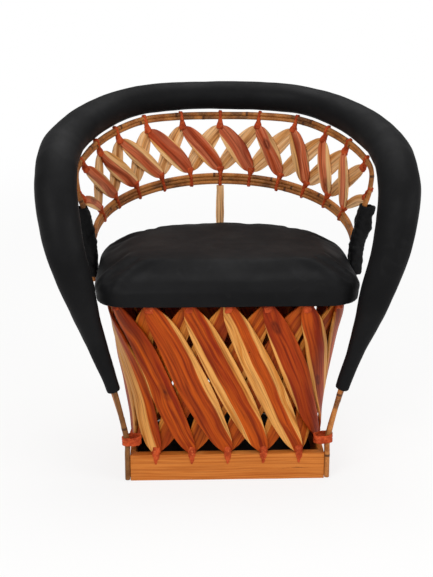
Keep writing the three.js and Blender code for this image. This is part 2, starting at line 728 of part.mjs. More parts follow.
function addArch() {
  const caneShares = evenShares(0, 1, archLast * ARCH_STEPS_PER_POINT);
  const bundle = bundleSection(2, CANE_RADIUS);
  const canes = loft(archFrames(caneShares).map((frame) => sectionAt(frame, bundle)), false, true);
  const bands = [1, -1].map((side) => cornerBand(side));
  addPiece('arm_arch_canes', joined([canes, ...bands]), CANE);

  const first = archShare(feet.length);
  const steps = (archLast - 2 * feet.length) * ARCH_STEPS_PER_POINT;
  const frames = archFrames(evenShares(first, 1 - first, steps));
  const outside = frames.map((frame) => {
    const { halfOut, halfThird } = rollSection(frame.share);
    return sectionAt(frame, ellipseSection(halfOut, halfThird, ROLL_SIDES));
  });
  const boreOut = ROLL_BORE_SHARE * CANE_RADIUS + FIT_GAP;
  const boreThird = CANE_PITCH + CANE_RADIUS / 2 + FIT_GAP;
  const bore = ellipseSection(boreOut, boreThird, ROLL_SIDES);
  const inside = frames.map((frame) => sectionAt(frame, bore)).reverse();
  addPiece('arm_back_roll', loft([...outside, ...inside], true), LEATHER);
}

// Rawhide band in front of the corner slats' tips, held by the canes beside them
function cornerBand(side) {
  const inner = BOARD_LENGTH / 2 - LASH_HALF_WIDTH - SLAT_TIP_WIDTH;
  const outer = footSide + CANE_RADIUS + LASH_THICKNESS;
  const front = FOOT_FORWARD + CANE_PITCH / 2 + CANE_RADIUS;
  const band = new THREE.BoxGeometry(outer - inner, LASH_THICKNESS, LASH_RISE);
  band.translate((side * (outer + inner)) / 2, -front, BASE_CORNER_TIE_HEIGHT + LASH_RISE / 2);
  return band;
}

// Back lattice

function lowerHoopCurve() {
  const rise = LOWER_HOOP_HEIGHT - HOOP_UPRIGHT_HEIGHT;
  const sweep = LOWER_HOOP_BACK - LOWER_END_BACK;
  const points = [
    new THREE.Vector3(HOOP_END_SIDE, LOWER_END_BACK, HOOP_END_HEIGHT),
    new THREE.Vector3(HOOP_END_SIDE, LOWER_END_BACK, WRAP_FOOT_HEIGHT + WRAP_HEIGHT),
    new THREE.Vector3(HOOP_END_SIDE, LOWER_END_BACK, HOOP_UPRIGHT_HEIGHT),
  ];
  [...LOWER_HOOP_TURN_SHARES, 1].forEach((share) => {
    const turn = (share * Math.PI) / 2;
    points.push(
      new THREE.Vector3(
        HOOP_END_SIDE * Math.cos(turn),
        LOWER_END_BACK + sweep * Math.sin(turn),
        HOOP_UPRIGHT_HEIGHT + rise * Math.sin(turn) ** LOWER_HOOP_RISE_SHARE,
      ),
    );
  });
  return new THREE.CatmullRomCurve3(mirrored(points));
}

function upperHoopCurve() {
  const points = [
    new THREE.Vector3(HOOP_END_SIDE, UPPER_END_BACK, HOOP_END_HEIGHT),
    new THREE.Vector3(HOOP_END_SIDE, UPPER_END_BACK, WRAP_FOOT_HEIGHT + WRAP_HEIGHT),
    new THREE.Vector3(HOOP_END_SIDE, UPPER_END_BACK, HOOP_UPRIGHT_HEIGHT),
  ];
  HOOP_DROP_SHARES.forEach(([side, back, height]) => {
    points.push(new THREE.Vector3(side * ARCH_HALF_SPAN, back * UPPER_END_BACK, height * ARCH_HEIGHT));
  });
  const stack = HOOP_CANE_PITCH / 2 + HOOP_CANE_RADIUS;
  const seats = HOOP_SEAT_ANGLE_SHARES.length;
  HOOP_SEAT_ANGLE_SHARES.forEach((angleShare, i) => {
    const share = archShare(archLast / 2 + seats - 1 - i);
    const [frame] = archFrames([share]);
    const { halfOut, halfThird } = rollSection(share);
    const turn = (angleShare * Math.PI) / 2;
    const inward = (halfOut + HOOP_CANE_RADIUS + LASH_THICKNESS + HOOP_ROLL_GAP) * Math.sin(turn);
    const below = (halfThird + stack + LASH_THICKNESS + HOOP_ROLL_GAP) * Math.cos(turn);
    const down = frame.third.z > 0 ? -1 : 1;
    const point = frame.point.clone().addScaledVector(frame.out, -inward);
    point.addScaledVector(frame.third, down * below);
    points.push(point);
  });
  points[points.length - 1].x = 0;
  return new THREE.CatmullRomCurve3(mirrored(points));
}

// Leather round the upper hoop between its end and the lattice, on the left or the right
function hoopSleeve(side) {
  const curve = upperHoopCurve();
  const [first, last] = SLEEVE_SHARES.map((share) => share / (curve.points.length - 1));
  const shares = side < 0 ? evenShares(first, last, SLEEVE_STEPS) : evenShares(1 - last, 1 - first, SLEEVE_STEPS);
  const boreOut = ROLL_BORE_SHARE * HOOP_CANE_RADIUS + FIT_GAP;
  const boreThird = HOOP_CANE_PITCH + HOOP_CANE_RADIUS / 2 + FIT_GAP;
  const outside = ellipseSection(boreOut + WRAP_THICKNESS, boreThird + WRAP_THICKNESS, ROLL_SIDES);
  const bore = ellipseSection(boreOut, boreThird, ROLL_SIDES);
  const frames = hoopFrames(curve, shares);
  return loft(
    [
      ...frames.map((frame) => sectionAt(frame, outside)),
      ...frames.map((frame) => sectionAt(frame, bore)).reverse(),
    ],
    true,
  );
}

// Places on a hoop by tie number, spaced along it from the middle of the back
function hoopTies(curve, spacing) {
  const length = curve.getLength();
  return (number) => {
    const crowding = 1 - TIE_CROWDING_SHARE * (number / UPPER_TIES_EACH_SIDE) ** 2;
    return curve.getPointAt(THREE.MathUtils.clamp(0.5 + (number * spacing * crowding) / length, 0, 1));
  };
}

// How far from a hoop a slat's tip stops, as a share of the way across to a place on the other
// hoop. Where the hoop runs steeply beside the slat, the tip needs longer to stay clear of it.
function setbackShare(surface, number, end, otherNumber, setback) {
  const way = surface(otherNumber, 1 - end).sub(surface(number, end));
  const length = way.length();
  const steepness = directionsOn(surface, number, end).across.dot(way) / length;
  return setback / Math.sqrt(1 - steepness ** 2) / length;
}

// A slat of the back runs from one tie to the next, and stops short of both hoops
function backSlat(surface, number, step, layer, widthShare) {
  const from = setbackShare(surface, number, 0, number + step, BACK_SLAT_FOOT_SETBACK);
  const to = 1 - setbackShare(surface, number + step, 1, number, BACK_SLAT_TOP_SETBACK);
  const size = {
    width: BACK_SLAT_WIDTH * widthShare,
    thickness: BACK_SLAT_THICKNESS,
    tipWidth: BACK_SLAT_TIP_WIDTH,
    headWidth: BACK_SLAT_TIP_WIDTH,
    tipThickness: SLAT_TIP_THICKNESS,
    tipOffset: BACK_SLAT_TIP_OFFSET,
    offset: BACK_SLAT_OFFSET,
  };
  const numberAt = (share) => number + (step * (share - from)) / (to - from);
  const rings = BACK_SLAT_STATION_SHARES.map((station) => {
    const share = from + (to - from) * station;
    const { half, thick, offset } = leafAt(size, station);
    const centre = surface(numberAt(share), share);
    const axis = unitRise(surface, numberAt, share);
    const { across } = directionsOn(surface, numberAt(share), share);
    across.addScaledVector(axis, -across.dot(axis)).normalize();
    const facing = across.clone().cross(axis).normalize();
    const bevel = Math.min(SLAT_EDGE_BEVEL, half / 2);
    const section = [
      [-half, 0],
      [-half + bevel, thick],
      [half - bevel, thick],
      [half, 0],
      [half - bevel, -thick],
      [-half + bevel, -thick],
    ];
    return section.map(([u, v]) =>
      centre
        .clone()
        .addScaledVector(across, u)
        .addScaledVector(facing, layer * offset + v),
    );
  });
  return loft(rings);
}

// A lashing on a cane hoop: it goes round the bundle and ends in two straps that hold the
// slats' tips. Its front and rear straps start at the given distances from the shared surface.
function hoopLashing(surface, number, end, canes, setback, frontFace, rearFace) {
  const towards = THREE.MathUtils.clamp(number, -LOWER_TIES_EACH_SIDE, LOWER_TIES_EACH_SIDE);
  const origin = surface(number, end);
  const tipShare = setbackShare(surface, number, end, towards, setback + LASH_RISE / 2);
  const tipPlace = surface(number + (towards - number) * tipShare, Math.abs(end - tipShare)).sub(origin);
  const nearShare = HEIGHT_NUDGE_SHARE;
  const into = surface(number + (towards - number) * nearShare, Math.abs(end - nearShare)).sub(origin);
  into.normalize();
  const { across, facing } = directionsOn(surface, number, end);
  across.addScaledVector(into, -across.dot(into)).normalize();
  const outward = facing.dot(across.clone().cross(into)) < 0 ? -1 : 1;
  facing.copy(across).cross(into).multiplyScalar(outward);
  const reach = tipPlace.dot(into);
  const drift = tipPlace.dot(facing);
  const stack = ((canes - 1) / 2) * HOOP_CANE_PITCH + HOOP_CANE_RADIUS;
  const face = HOOP_CANE_RADIUS + LASH_THICKNESS;
  const shift = (drift * stack) / reach;
  const outline = new THREE.Shape(
    [
      [-stack - LASH_THICKNESS, -face],
      [-stack - LASH_THICKNESS, face],
      [stack, Math.max(face, shift + frontFace + LASH_THICKNESS)],
      [reach, drift + frontFace + LASH_THICKNESS],
      [reach, drift + frontFace],
      [stack, shift + frontFace],
      [stack, shift - rearFace],
      [reach, drift - rearFace],
      [reach, drift - rearFace - LASH_THICKNESS],
      [stack, Math.min(-face, shift - rearFace - LASH_THICKNESS)],
    ].map(([u, v]) => new THREE.Vector2(u, v)),
  );
  const lashing = new THREE.ExtrudeGeometry(outline, {
    depth: 2 * BACK_LASH_HALF_WIDTH,
    bevelEnabled: false,
  });
  const side = into.clone().cross(facing);
  lashing.translate(0, 0, -BACK_LASH_HALF_WIDTH);
  lashing.applyMatrix4(new THREE.Matrix4().makeBasis(into, facing, side).setPosition(origin));
  return lashing;
}

function addBack() {
  const upperCurve = upperHoopCurve();
  const lowerCurve = lowerHoopCurve();
  const upper = hoopTies(upperCurve, UPPER_TIE_SPACING);
  const lower = hoopTies(lowerCurve, LOWER_TIE_SPACING);
  const surface = latticeSurface(lower, upper, 1);
  const shares = evenShares(0, 1, HOOP_STEPS);
  const pair = bundleSection(2, HOOP_CANE_RADIUS);
  const trio = bundleSection(3, HOOP_CANE_RADIUS);
  const upperHoop = [loft(hoopFrames(upperCurve, shares).map((frame) => sectionAt(frame, pair)), false, true)];
  const lowerHoop = [loft(hoopFrames(lowerCurve, shares).map((frame) => sectionAt(frame, trio)), false, true)];
  const clear = BACK_SLAT_TIP_OFFSET + SLAT_TIP_THICKNESS / 2 + BACK_LASH_STANDOFF;
  const sunk = BACK_SLAT_TIP_OFFSET + SLAT_TIP_THICKNESS / 2 - JOIN_DEPTH;
  for (let j = -UPPER_TIES_EACH_SIDE; j <= UPPER_TIES_EACH_SIDE; j++) {
    upperHoop.push(hoopLashing(surface, j, 1, 2, BACK_SLAT_TOP_SETBACK, clear, sunk));
  }
  for (let j = -LOWER_TIES_EACH_SIDE; j <= LOWER_TIES_EACH_SIDE; j++) {
    lowerHoop.push(hoopLashing(surface, j, 0, 3, BACK_SLAT_FOOT_SETBACK, clear, clear));
    const frontWidth = BACK_SLAT_WIDTH_SHARES[LOWER_TIES_EACH_SIDE + j];
    const rearWidth = BACK_SLAT_WIDTH_SHARES[LOWER_TIES_EACH_SIDE - j];
    const name = `back_front_slat_${twoDigits(j + UPPER_TIES_EACH_SIDE)}`;
    upperHoop.push(backSlat(surface, j, 1, -1, rearWidth));
    addPiece(name, backSlat(surface, j, -1, 1, frontWidth), HEARTWOOD);
  }
  addPiece('back_upper_hoop', joined(upperHoop), SAPWOOD);
  addPiece('back_lower_hoop', joined(lowerHoop), CANE);
}

// Flat stick that props the lower hoop against the back of the seat
function addProp() {
  const top = LOWER_HOOP_HEIGHT - HOOP_CANE_PITCH - HOOP_CANE_RADIUS - LASH_THICKNESS - FIT_GAP;
  const foot = SEAT_BACK + FIT_GAP + PROP_THICKNESS / 2;
  const rings = [
    [SEAT_UNDERSIDE - PROP_DROP, foot],
    [SEAT_EDGE, foot],
    [top, LOWER_HOOP_BACK],
  ].map(([height, back]) => {
    const corners = [
      [-1, -1],
      [1, -1],
      [1, 1],
      [-1, 1],
    ];
    return corners.map(
      ([u, v]) => new THREE.Vector3((u * PROP_WIDTH) / 2, back + (v * PROP_THICKNESS) / 2, height),
    );
  });
  addPiece('back_prop', loft(rings), SAPWOOD);
}

// Leather wraps round the ends of both hoops, beside the seat
function addWraps() {
  const front = UPPER_END_BACK - HOOP_CANE_PITCH / 2 - HOOP_CANE_RADIUS - FIT_GAP;
  const back = LOWER_END_BACK + HOOP_CANE_PITCH + HOOP_CANE_RADIUS + FIT_GAP;
  const halfHole = HOOP_CANE_RADIUS + FIT_GAP;
  const outline = (grow) => {
    const half = halfHole + grow;
    const path = new THREE.Path();
    path.absarc(0, front + halfHole, half, Math.PI, 2 * Math.PI, false);
    path.absarc(0, back - halfHole, half, 0, Math.PI, false);
    return path.getPoints(WRAP_DIVISIONS);
  };
  const shape = new THREE.Shape(outline(WRAP_THICKNESS));
  shape.holes.push(new THREE.Path(outline(0)));
  [-1, 1].forEach((side) => {
    const wrap = new THREE.ExtrudeGeometry(shape, { depth: WRAP_HEIGHT, bevelEnabled: false });
    wrap.translate(side * HOOP_END_SIDE, 0, WRAP_FOOT_HEIGHT);
    addPiece(side < 0 ? 'end_wrap_left' : 'end_wrap_right', joined([wrap, hoopSleeve(side)]), LEATHER);
  });
}

const barrelSurface = latticeSurface(baseTies(), ringTies(), TIES_CROSSED_COUNT);
addBase(barrelSurface);
addBarrel(barrelSurface);
addSeat(barrelSurface);
addArch();
addBack();
addProp();
addWraps();

// The origin is on the floor, under the middle of the chair's box
const box = new THREE.Box3().setFromObject(chair);
chair.position.set(-(box.min.x + box.max.x) / 2, -(box.min.y + box.max.y) / 2, 0);
chair.updateMatrixWorld(true);

export default chair;
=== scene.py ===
# %% [markdown]
# # A barrel chair of split cedar, cane and black leather
#
# The chair stands on a low base of a straight pine board and a bent hoop. Two layers of split
# slats cross each other like a basket and carry the seat ring. A padded leather seat rests on the
# ring, an arch of canes inside a padded leather roll makes the arms and the back, and a second,
# smaller lattice of slats fills the back between two cane hoops. Rawhide thongs hold everything.
#
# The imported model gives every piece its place. This script keeps the pieces whose shape is right,
# models the others finer, and gives all of them their looks.

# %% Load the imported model
import math

import bpy
import numpy as np
from mathutils import Matrix, Vector, noise
from mathutils.kdtree import KDTree


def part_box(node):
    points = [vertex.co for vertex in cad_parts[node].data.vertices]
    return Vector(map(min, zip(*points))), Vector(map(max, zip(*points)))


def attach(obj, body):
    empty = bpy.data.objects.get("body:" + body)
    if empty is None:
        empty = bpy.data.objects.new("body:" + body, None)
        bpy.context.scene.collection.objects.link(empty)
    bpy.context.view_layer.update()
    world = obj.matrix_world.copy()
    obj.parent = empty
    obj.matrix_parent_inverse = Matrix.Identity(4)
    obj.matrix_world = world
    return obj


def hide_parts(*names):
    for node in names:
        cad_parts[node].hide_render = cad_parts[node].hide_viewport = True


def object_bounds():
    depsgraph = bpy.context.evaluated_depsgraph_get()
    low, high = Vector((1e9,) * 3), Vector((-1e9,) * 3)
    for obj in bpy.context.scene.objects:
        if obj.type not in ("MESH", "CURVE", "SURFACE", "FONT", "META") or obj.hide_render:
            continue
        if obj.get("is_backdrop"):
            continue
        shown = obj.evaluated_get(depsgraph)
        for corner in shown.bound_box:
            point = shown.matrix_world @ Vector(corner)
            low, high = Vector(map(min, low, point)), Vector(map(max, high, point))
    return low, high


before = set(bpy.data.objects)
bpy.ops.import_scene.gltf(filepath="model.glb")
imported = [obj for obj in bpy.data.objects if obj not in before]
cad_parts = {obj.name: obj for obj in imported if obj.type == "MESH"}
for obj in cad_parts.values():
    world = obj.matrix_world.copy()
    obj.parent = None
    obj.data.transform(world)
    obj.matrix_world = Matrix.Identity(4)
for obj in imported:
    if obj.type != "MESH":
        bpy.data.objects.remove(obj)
cad_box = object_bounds()
print("CAD box", [tuple(round(x, 4) for x in corner) for corner in cad_box])

# %% [markdown]
# ## Camera
#
# The photograph was taken from a little above the seat, straight ahead of the chair but for two
# degrees. The camera's place, tilt and focal length were fitted to the board, the seat's outline
# and the roll. The optical axis meets the picture a few pixels beside its middle, which is what a
# cropped photograph has, so the camera gets a small shift.

# %% The photograph's camera
PHOTO_HEIGHT = 577
CAMERA_DISTANCE = 2.5955  # level distance from the chair's upright axis
CAMERA_HEIGHT = 1.1457
CAMERA_AZIMUTH = math.radians(-2.42)
CAMERA_PITCH = math.radians(16.874)
CAMERA_ROLL = math.radians(0.245)
FOCAL_PIXELS = 1240.85
AXIS_RIGHT_PIXELS = 7.7  # how far right of the picture's middle the optical axis meets it

# The chair's upright axis, from which the forward and back sizes below are measured
SEAT_FORWARD = 0.2315
axis_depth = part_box("seat_cushion")[0].y + SEAT_FORWARD


def add_camera():
    """A camera that sees the chair as the photograph does."""
    forward = Vector((
        -math.sin(CAMERA_AZIMUTH) * math.cos(CAMERA_PITCH),
        math.cos(CAMERA_AZIMUTH) * math.cos(CAMERA_PITCH),
        -math.sin(CAMERA_PITCH),
    ))
    level = Vector((math.cos(CAMERA_AZIMUTH), math.sin(CAMERA_AZIMUTH), 0))
    rise = level.cross(forward)
    right = level * math.cos(CAMERA_ROLL) + rise * math.sin(CAMERA_ROLL)
    up = rise * math.cos(CAMERA_ROLL) - level * math.sin(CAMERA_ROLL)
    turn = Matrix((right, up, -forward)).transposed().to_4x4()
    place = Vector((
        math.sin(CAMERA_AZIMUTH) * CAMERA_DISTANCE,
        axis_depth - math.cos(CAMERA_AZIMUTH) * CAMERA_DISTANCE,
        CAMERA_HEIGHT,
    ))
    lens = bpy.data.cameras.new("photo_camera")
    lens.lens = FOCAL_PIXELS / PHOTO_HEIGHT * lens.sensor_width
    lens.shift_x = -AXIS_RIGHT_PIXELS / PHOTO_HEIGHT
    camera = bpy.data.objects.new("photo_camera", lens)
    camera.matrix_world = Matrix.Translation(place) @ turn
    bpy.context.scene.collection.objects.link(camera)
    bpy.context.scene.camera = camera
    return camera


camera = add_camera()
print("camera at", [round(x, 3) for x in camera.location], "lens", round(camera.data.lens, 1))

# %% [markdown]
# ## Studio
#
# The photograph has a plain white ground and soft light from the front and from above. A large
# floor, three area lamps and an even sky give that. The floor shows pale to the camera through the
# Light Path node, so the ground turns white without more light on the chair, and it keeps the
# chair's shadow. Within the base hoop the floor is painted dark grey as painted shade, so that the
# inside of the barrel looks as black as in the photograph: there the floor isn't plain.

# %% Shader expressions
# A material is written as sums on its sockets: every value is wrapped, and an operator on wrapped
# values adds the Math node that does it.


def linear(colour):
    """A hex colour as the linear red, green, blue and alpha that shaders use."""
    parts = [int(colour[i:i + 2], 16) / 255 for i in (1, 3, 5)]
    return tuple(x / 12.92 if x < 0.04045 else ((x + 0.055) / 1.055) ** 2.4 for x in parts) + (1,)


class Value:
    """An output socket that can be used in sums."""

    def __init__(self, finish, socket):
        self.finish = finish
        self.socket = socket

    def __add__(self, other):
        return self.finish.maths("ADD", self, other)

    def __sub__(self, other):
        return self.finish.maths("SUBTRACT", self, other)

    def __rsub__(self, other):
        return self.finish.maths("SUBTRACT", other, self)

    def __mul__(self, other):
        return self.finish.maths("MULTIPLY", self, other)

    def __truediv__(self, other):
        return self.finish.maths("DIVIDE", self, other)

    def __rtruediv__(self, other):
        return self.finish.maths("DIVIDE", other, self)

    __radd__ = __add__
    __rmul__ = __mul__


class Finish:
    """A material whose nodes come from expressions."""

    def __init__(self, name, roughness=0.5, specular=0.5):
        self.material = bpy.data.materials.new(name)
        self.material.use_nodes = True
        self.tree = self.material.node_tree
        self.shader = self.tree.nodes["Principled BSDF"]
        self.shader.inputs["Roughness"].default_value = roughness
        self.shader.inputs["Specular IOR Level"].default_value = specular

    def node(self, kind, settings, values, output=0):
        """Adds a node: its settings first, then the values or links of its sockets."""
        node = self.tree.nodes.new(kind)
        for key, setting in settings.items():
            setattr(node, key, setting)
        for key, value in values.items():
            if isinstance(value, Value):
                self.tree.links.new(value.socket, node.inputs[key])
            else:
                node.inputs[key].default_value = linear(value) if isinstance(value, str) else value
        return Value(self, node.outputs[output])

    def maths(self, operation, *values):
        return self.node("ShaderNodeMath", {"operation": operation}, dict(enumerate(values)))

    def attribute(self, name):
        return self.node("ShaderNodeAttribute", {"attribute_name": name}, {}, "Vector")

    def place(self):
        return self.node("ShaderNodeTexCoord", {}, {}, "Object")

    def split(self, vector):
        node = self.node("ShaderNodeSeparateXYZ", {}, {0: vector}).socket.node
        return [Value(self, socket) for socket in node.outputs]

    def join(self, x, y, z):
        return self.node("ShaderNodeCombineXYZ", {}, {0: x, 1: y, 2: z})

    def noise(self, vector, scale, detail=3.0, roughness=0.55, distortion=0.0):
        values = {"Vector": vector, "Scale": scale, "Detail": detail}
        values.update({"Roughness": roughness, "Distortion": distortion})
        return self.node("ShaderNodeTexNoise", {}, values)

    def cells(self, vector, scale):
        return self.node("ShaderNodeTexVoronoi", {}, {"Vector": vector, "Scale": scale})

    def ramp(self, value, low, high, first=0.0, last=1.0):
        """Runs smoothly from the first number to the last while the value goes from low to high."""
        values = {"Value": value, "From Min": low, "From Max": high}
        values.update({"To Min": first, "To Max": last})
        return self.node("ShaderNodeMapRange", {"interpolation_type": "SMOOTHSTEP"}, values)

    def blend(self, share, first, second):
        """Mixes two colours, each a value or a hex colour."""
        return self.node("ShaderNodeMix", {"data_type": "RGBA"}, {0: share, 6: first, 7: second}, 2)

    def set(self, socket, value):
        self.tree.links.new(value.socket, self.shader.inputs[socket])

    def bump(self, height, depth, strength=1.0):
        """Raises the surface by a height from 0 to 1 over a depth in metres."""
        values = {"Strength": strength, "Distance": depth, "Height": height}
        self.set("Normal", self.node("ShaderNodeBump", {}, values))


print("shader helpers ready")

# %% Floor, sky and lamps
FLOOR_SIZE = 60
FLOOR_SHOWN_SHARE = 0.8  # how much of the near floor the camera sees as white, whatever the light
FAR_FLOOR = (0.5, 3.5)  # away from the chair it grows plain white
INSIDE_EDGE = (-0.012, 0.006)  # where the painted shade of the floor within the base hoop ends, from its edge
SKY_STRENGTH = 0.42
# Place, aim height, size and power of each lamp
LAMPS = {
    "key_lamp": ((-1.5, -2.9, 2.7), 0.45, 2.2, 78),
    "side_lamp": ((2.6, -1.7, 1.7), 0.4, 2.0, 38),
    "top_lamp": ((0.2, 0.9, 3.1), 0.4, 2.4, 44),
}


def white_to_camera(finish, shader_socket, share):
    """Lets rays that show the background see plain white instead of the shader, in part."""
    path = finish.node("ShaderNodeLightPath", {}, {}).socket.node
    seen = [Value(finish, path.outputs[name]) for name in
            ("Is Camera Ray", "Is Glossy Ray", "Is Transmission Ray")]
    shown = finish.maths("MAXIMUM", finish.maths("MAXIMUM", seen[0], seen[1]), seen[2])
    glow = finish.node("ShaderNodeEmission", {}, {"Color": (1, 1, 1, 1), "Strength": 1.0})
    mix = finish.node("ShaderNodeMixShader", {}, {0: shown * share, 1: shader_socket, 2: glow})
    output = finish.tree.nodes["Material Output"]
    finish.tree.links.new(mix.socket, output.inputs["Surface"])


def add_floor():
    bpy.ops.mesh.primitive_plane_add(size=FLOOR_SIZE, location=(0, 0, -0.0005))
    floor = bpy.context.object
    floor.name = "studio_floor"
    finish = Finish("studio_floor", roughness=0.9, specular=0.0)
    mottle = finish.noise(finish.place(), 2.0)
    low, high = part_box("base_hoop")
    x, y, _ = finish.split(finish.place())
    behind = finish.maths("MAXIMUM", y - (high.y - high.x), 0.0)
    beyond = finish.maths("SQRT", x * x + behind * behind) - high.x
    beyond = finish.maths("MAXIMUM", beyond, low.y - y)
    shown = (finish.ramp(beyond, *INSIDE_EDGE)
             * finish.ramp(beyond, *FAR_FLOOR, FLOOR_SHOWN_SHARE, 1.0))
    pale = finish.blend(mottle, "#e9e8e6", "#eeedeb")
    # Within the base hoop the floor's colour turns dark grey: painted shade for the barrel's dark
    # inside.
    inside = finish.ramp(beyond, *INSIDE_EDGE, 1.0, 0.0)
    finish.set("Base Color", finish.blend(inside, pale, "#3c3a38"))
    white_to_camera(finish, Value(finish, finish.shader.outputs[0]), shown)
    floor.data.materials.append(finish.material)
    floor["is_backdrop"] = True
    return floor


def add_lamp(name, place, aim_height, size, power):
    lamp = bpy.data.lights.new(name, "AREA")
    lamp.shape = "DISK"
    lamp.size = size
    lamp.energy = power
    obj = bpy.data.objects.new(name, lamp)
    aim = Vector((0, 0, aim_height)) - Vector(place)
    obj.matrix_world = Matrix.Translation(place) @ aim.to_track_quat("-Z", "Y").to_matrix().to_4x4()
    bpy.context.scene.collection.objects.link(obj)


floor = add_floor()
for name, lamp in LAMPS.items():
    add_lamp(name, *lamp)
world = bpy.data.worlds.new("studio_sky")
world.use_nodes = True
nodes, links = world.node_tree.nodes, world.node_tree.links
sky, beyond_floor = nodes["Background"], nodes.new("ShaderNodeBackground")
sky.inputs["Color"].default_value = beyond_floor.inputs["Color"].default_value = (1, 1, 1, 1)
sky.inputs["Strength"].default_value = SKY_STRENGTH
sky_mix = nodes.new("ShaderNodeMixShader")
links.new(nodes.new("ShaderNodeLightPath").outputs["Is Camera Ray"], sky_mix.inputs[0])
links.new(sky.outputs[0], sky_mix.inputs[1])
links.new(beyond_floor.outputs[0], sky_mix.inputs[2])
links.new(sky_mix.outputs[0], nodes["World Output"].inputs["Surface"])
bpy.context.scene.world = world
bpy.context.scene.view_settings.view_transform = "Standard"
print("studio:", len(LAMPS), "lamps on a floor of", FLOOR_SIZE, "m")

# %% [markdown]
# ## Finishes
#
# The slats are split from cedar: red-brown heartwood in the middle of the log and pale sapwood
# near its bark, so most slats show both. The grain follows each slat's length, and a slat leans
# and bends, so its pattern can't come from straight coordinates. Each slat carries three
# attributes instead: **grain** (across and along it in metres, and a seed), **heart** (middle, half
# width and redness of its heartwood) and **knot** (place and radius of its knot).

# %% Split cedar
DOT_SPACING = 0.062  # between the small dark dots of side twigs


def cedar(name, heart_dark, heart_light, sap_dark, sap_light):
    finish = Finish(name, roughness=0.5, specular=0.12)
    across, along, seed = finish.split(finish.attribute("grain"))
    middle, half, redness = finish.split(finish.attribute("heart"))
    knot_across, knot_along, knot_radius = finish.split(finish.attribute("knot"))
    # distance from the knot in knot radii, longer along the grain
    side = (across - knot_across) / knot_radius
    run = (along - knot_along) / knot_radius * 0.55
    away = finish.maths("SQRT", side * side + run * run)
    # the grain is pushed aside round the knot
    pushed = across + side * knot_radius / (1 + away * away) * 0.9
    sway = finish.noise(finish.join(across * 9, along * 5, seed), 1.0, 2.0)
    fibre = finish.join(pushed * 260 + sway * 5, along * 7, seed)
    rings = finish.noise(finish.join(pushed * 85 + sway * 4, along * 2.6, seed), 1.0, 2.0, 0.5, 0.4)
    streak = finish.noise(fibre, 1.0, 4.0, 0.6)
    cloud = finish.noise(finish.join(across * 22, along * 9, seed + 3), 1.0, 2.0)
    shade = finish.noise(finish.join(pushed * 48 + sway * 3, along * 4.5, seed + 7), 1.0, 2.0)
    edge = finish.maths("ABSOLUTE", pushed - middle + (sway - 0.5) * 0.02) - half
    sap_share = finish.ramp(edge + (rings - 0.5) * 0.004, -0.0012, 0.0012)
    heart = finish.blend(finish.ramp(rings, 0.33, 0.67), heart_light, heart_dark)
    heart = finish.blend(finish.ramp(cloud, 0.35, 0.75, 0.0, 0.55), heart, heart_light)
    heart = finish.blend(finish.ramp(shade, 0.5, 0.68, 0.0, 0.55), heart, "#561203")
    heart = finish.blend(redness * 0.6, heart, "#8a1d06")
    sap = finish.blend(finish.ramp(rings, 0.35, 0.7), sap_light, sap_dark)
    colour = finish.blend(sap_share, heart, sap)
    colour = finish.blend(finish.ramp(streak, 0.42, 0.7, 0.0, 0.62), colour, "#561604")
    swirl = finish.maths("SINE", away * 4.0 + sway * 11.0 + streak * 7.0) * 0.25 + 0.6
    dark = finish.ramp(away + (streak - 0.5) * 1.6, 0.4, 1.8, 1.0, 0.0) * swirl
    colour = finish.blend(dark, colour, "#3a1006")
    specks = finish.cells(finish.join(across / DOT_SPACING, along / DOT_SPACING, seed * 7.3), 1.0)
    colour = finish.blend(finish.ramp(specks, 0.018, 0.034, 0.9, 0.0), colour, "#2b0f07")
    finish.set("Base Color", colour)
    finish.set("Roughness", finish.ramp(streak, 0.3, 0.7, 0.42, 0.6))
    finish.bump(streak * 0.6 + rings * 0.5 - dark * 0.3, 0.0007, 0.55)
    return finish


slat_cedar = cedar("slat_cedar", "#852404", "#c2560f", "#bf752c", "#e0a055")
inner_cedar = cedar("inner_cedar", "#923408", "#c26015", "#b8661e", "#cf8538")
# The back's front slats are lighter than the barrel's: partly their own paler wood, partly painted
# highlight.
back_cedar = cedar("back_cedar", "#bb4d1e", "#ea8a5e", "#d8954e", "#f5c488")
rear_cedar = cedar("rear_cedar", "#cf8844", "#e6a868", "#dea064", "#f2c28c")
print("cedar finishes:", slat_cedar.material.name, back_cedar.material.name)

# %% [markdown]
# Canes are smooth round stems with a dark ring where each leaf grew. The **cane** attribute holds
# the way along the stem, the distance to its nearest node and how dark the stem is. Rawhide, pine
# and leather have no direction that bends with the piece, apart from the boards' grain, so noise on
# Object coordinates serves for them.

# %% Cane, rawhide, pine and leather
def cane_skin(name):
    finish = Finish(name, roughness=0.42, specular=0.2)
    along, node, darkness = finish.split(finish.attribute("cane"))
    place = finish.place()
    blotch = finish.noise(place, 34.0, 3.0)
    patch = finish.noise(finish.join(along * 14, darkness * 9, 0.0), 1.0, 2.0)
    fibre = finish.noise(place, 420.0, 3.0)
    colour = finish.blend(finish.ramp(blotch, 0.35, 0.7), "#b97438", "#8a4a1c")
    colour = finish.blend(finish.ramp(patch, 0.52, 0.66, 0.0, 0.8), colour, "#55301a")
    colour = finish.blend(finish.ramp(fibre, 0.45, 0.75, 0.0, 0.4), colour, "#d9a463")
    colour = finish.blend(darkness * 0.85, colour, "#3d2c16")
    ring = finish.ramp(node, 0.0015, 0.004, 0.85, 0.0)
    colour = finish.blend(ring, colour, "#3a1d0d")
    finish.set("Base Color", colour)
    finish.set("Roughness", finish.ramp(blotch, 0.3, 0.7, 0.36, 0.55))
    finish.bump(fibre * 0.5 + blotch * 0.5, 0.0004, 0.5)
    return finish


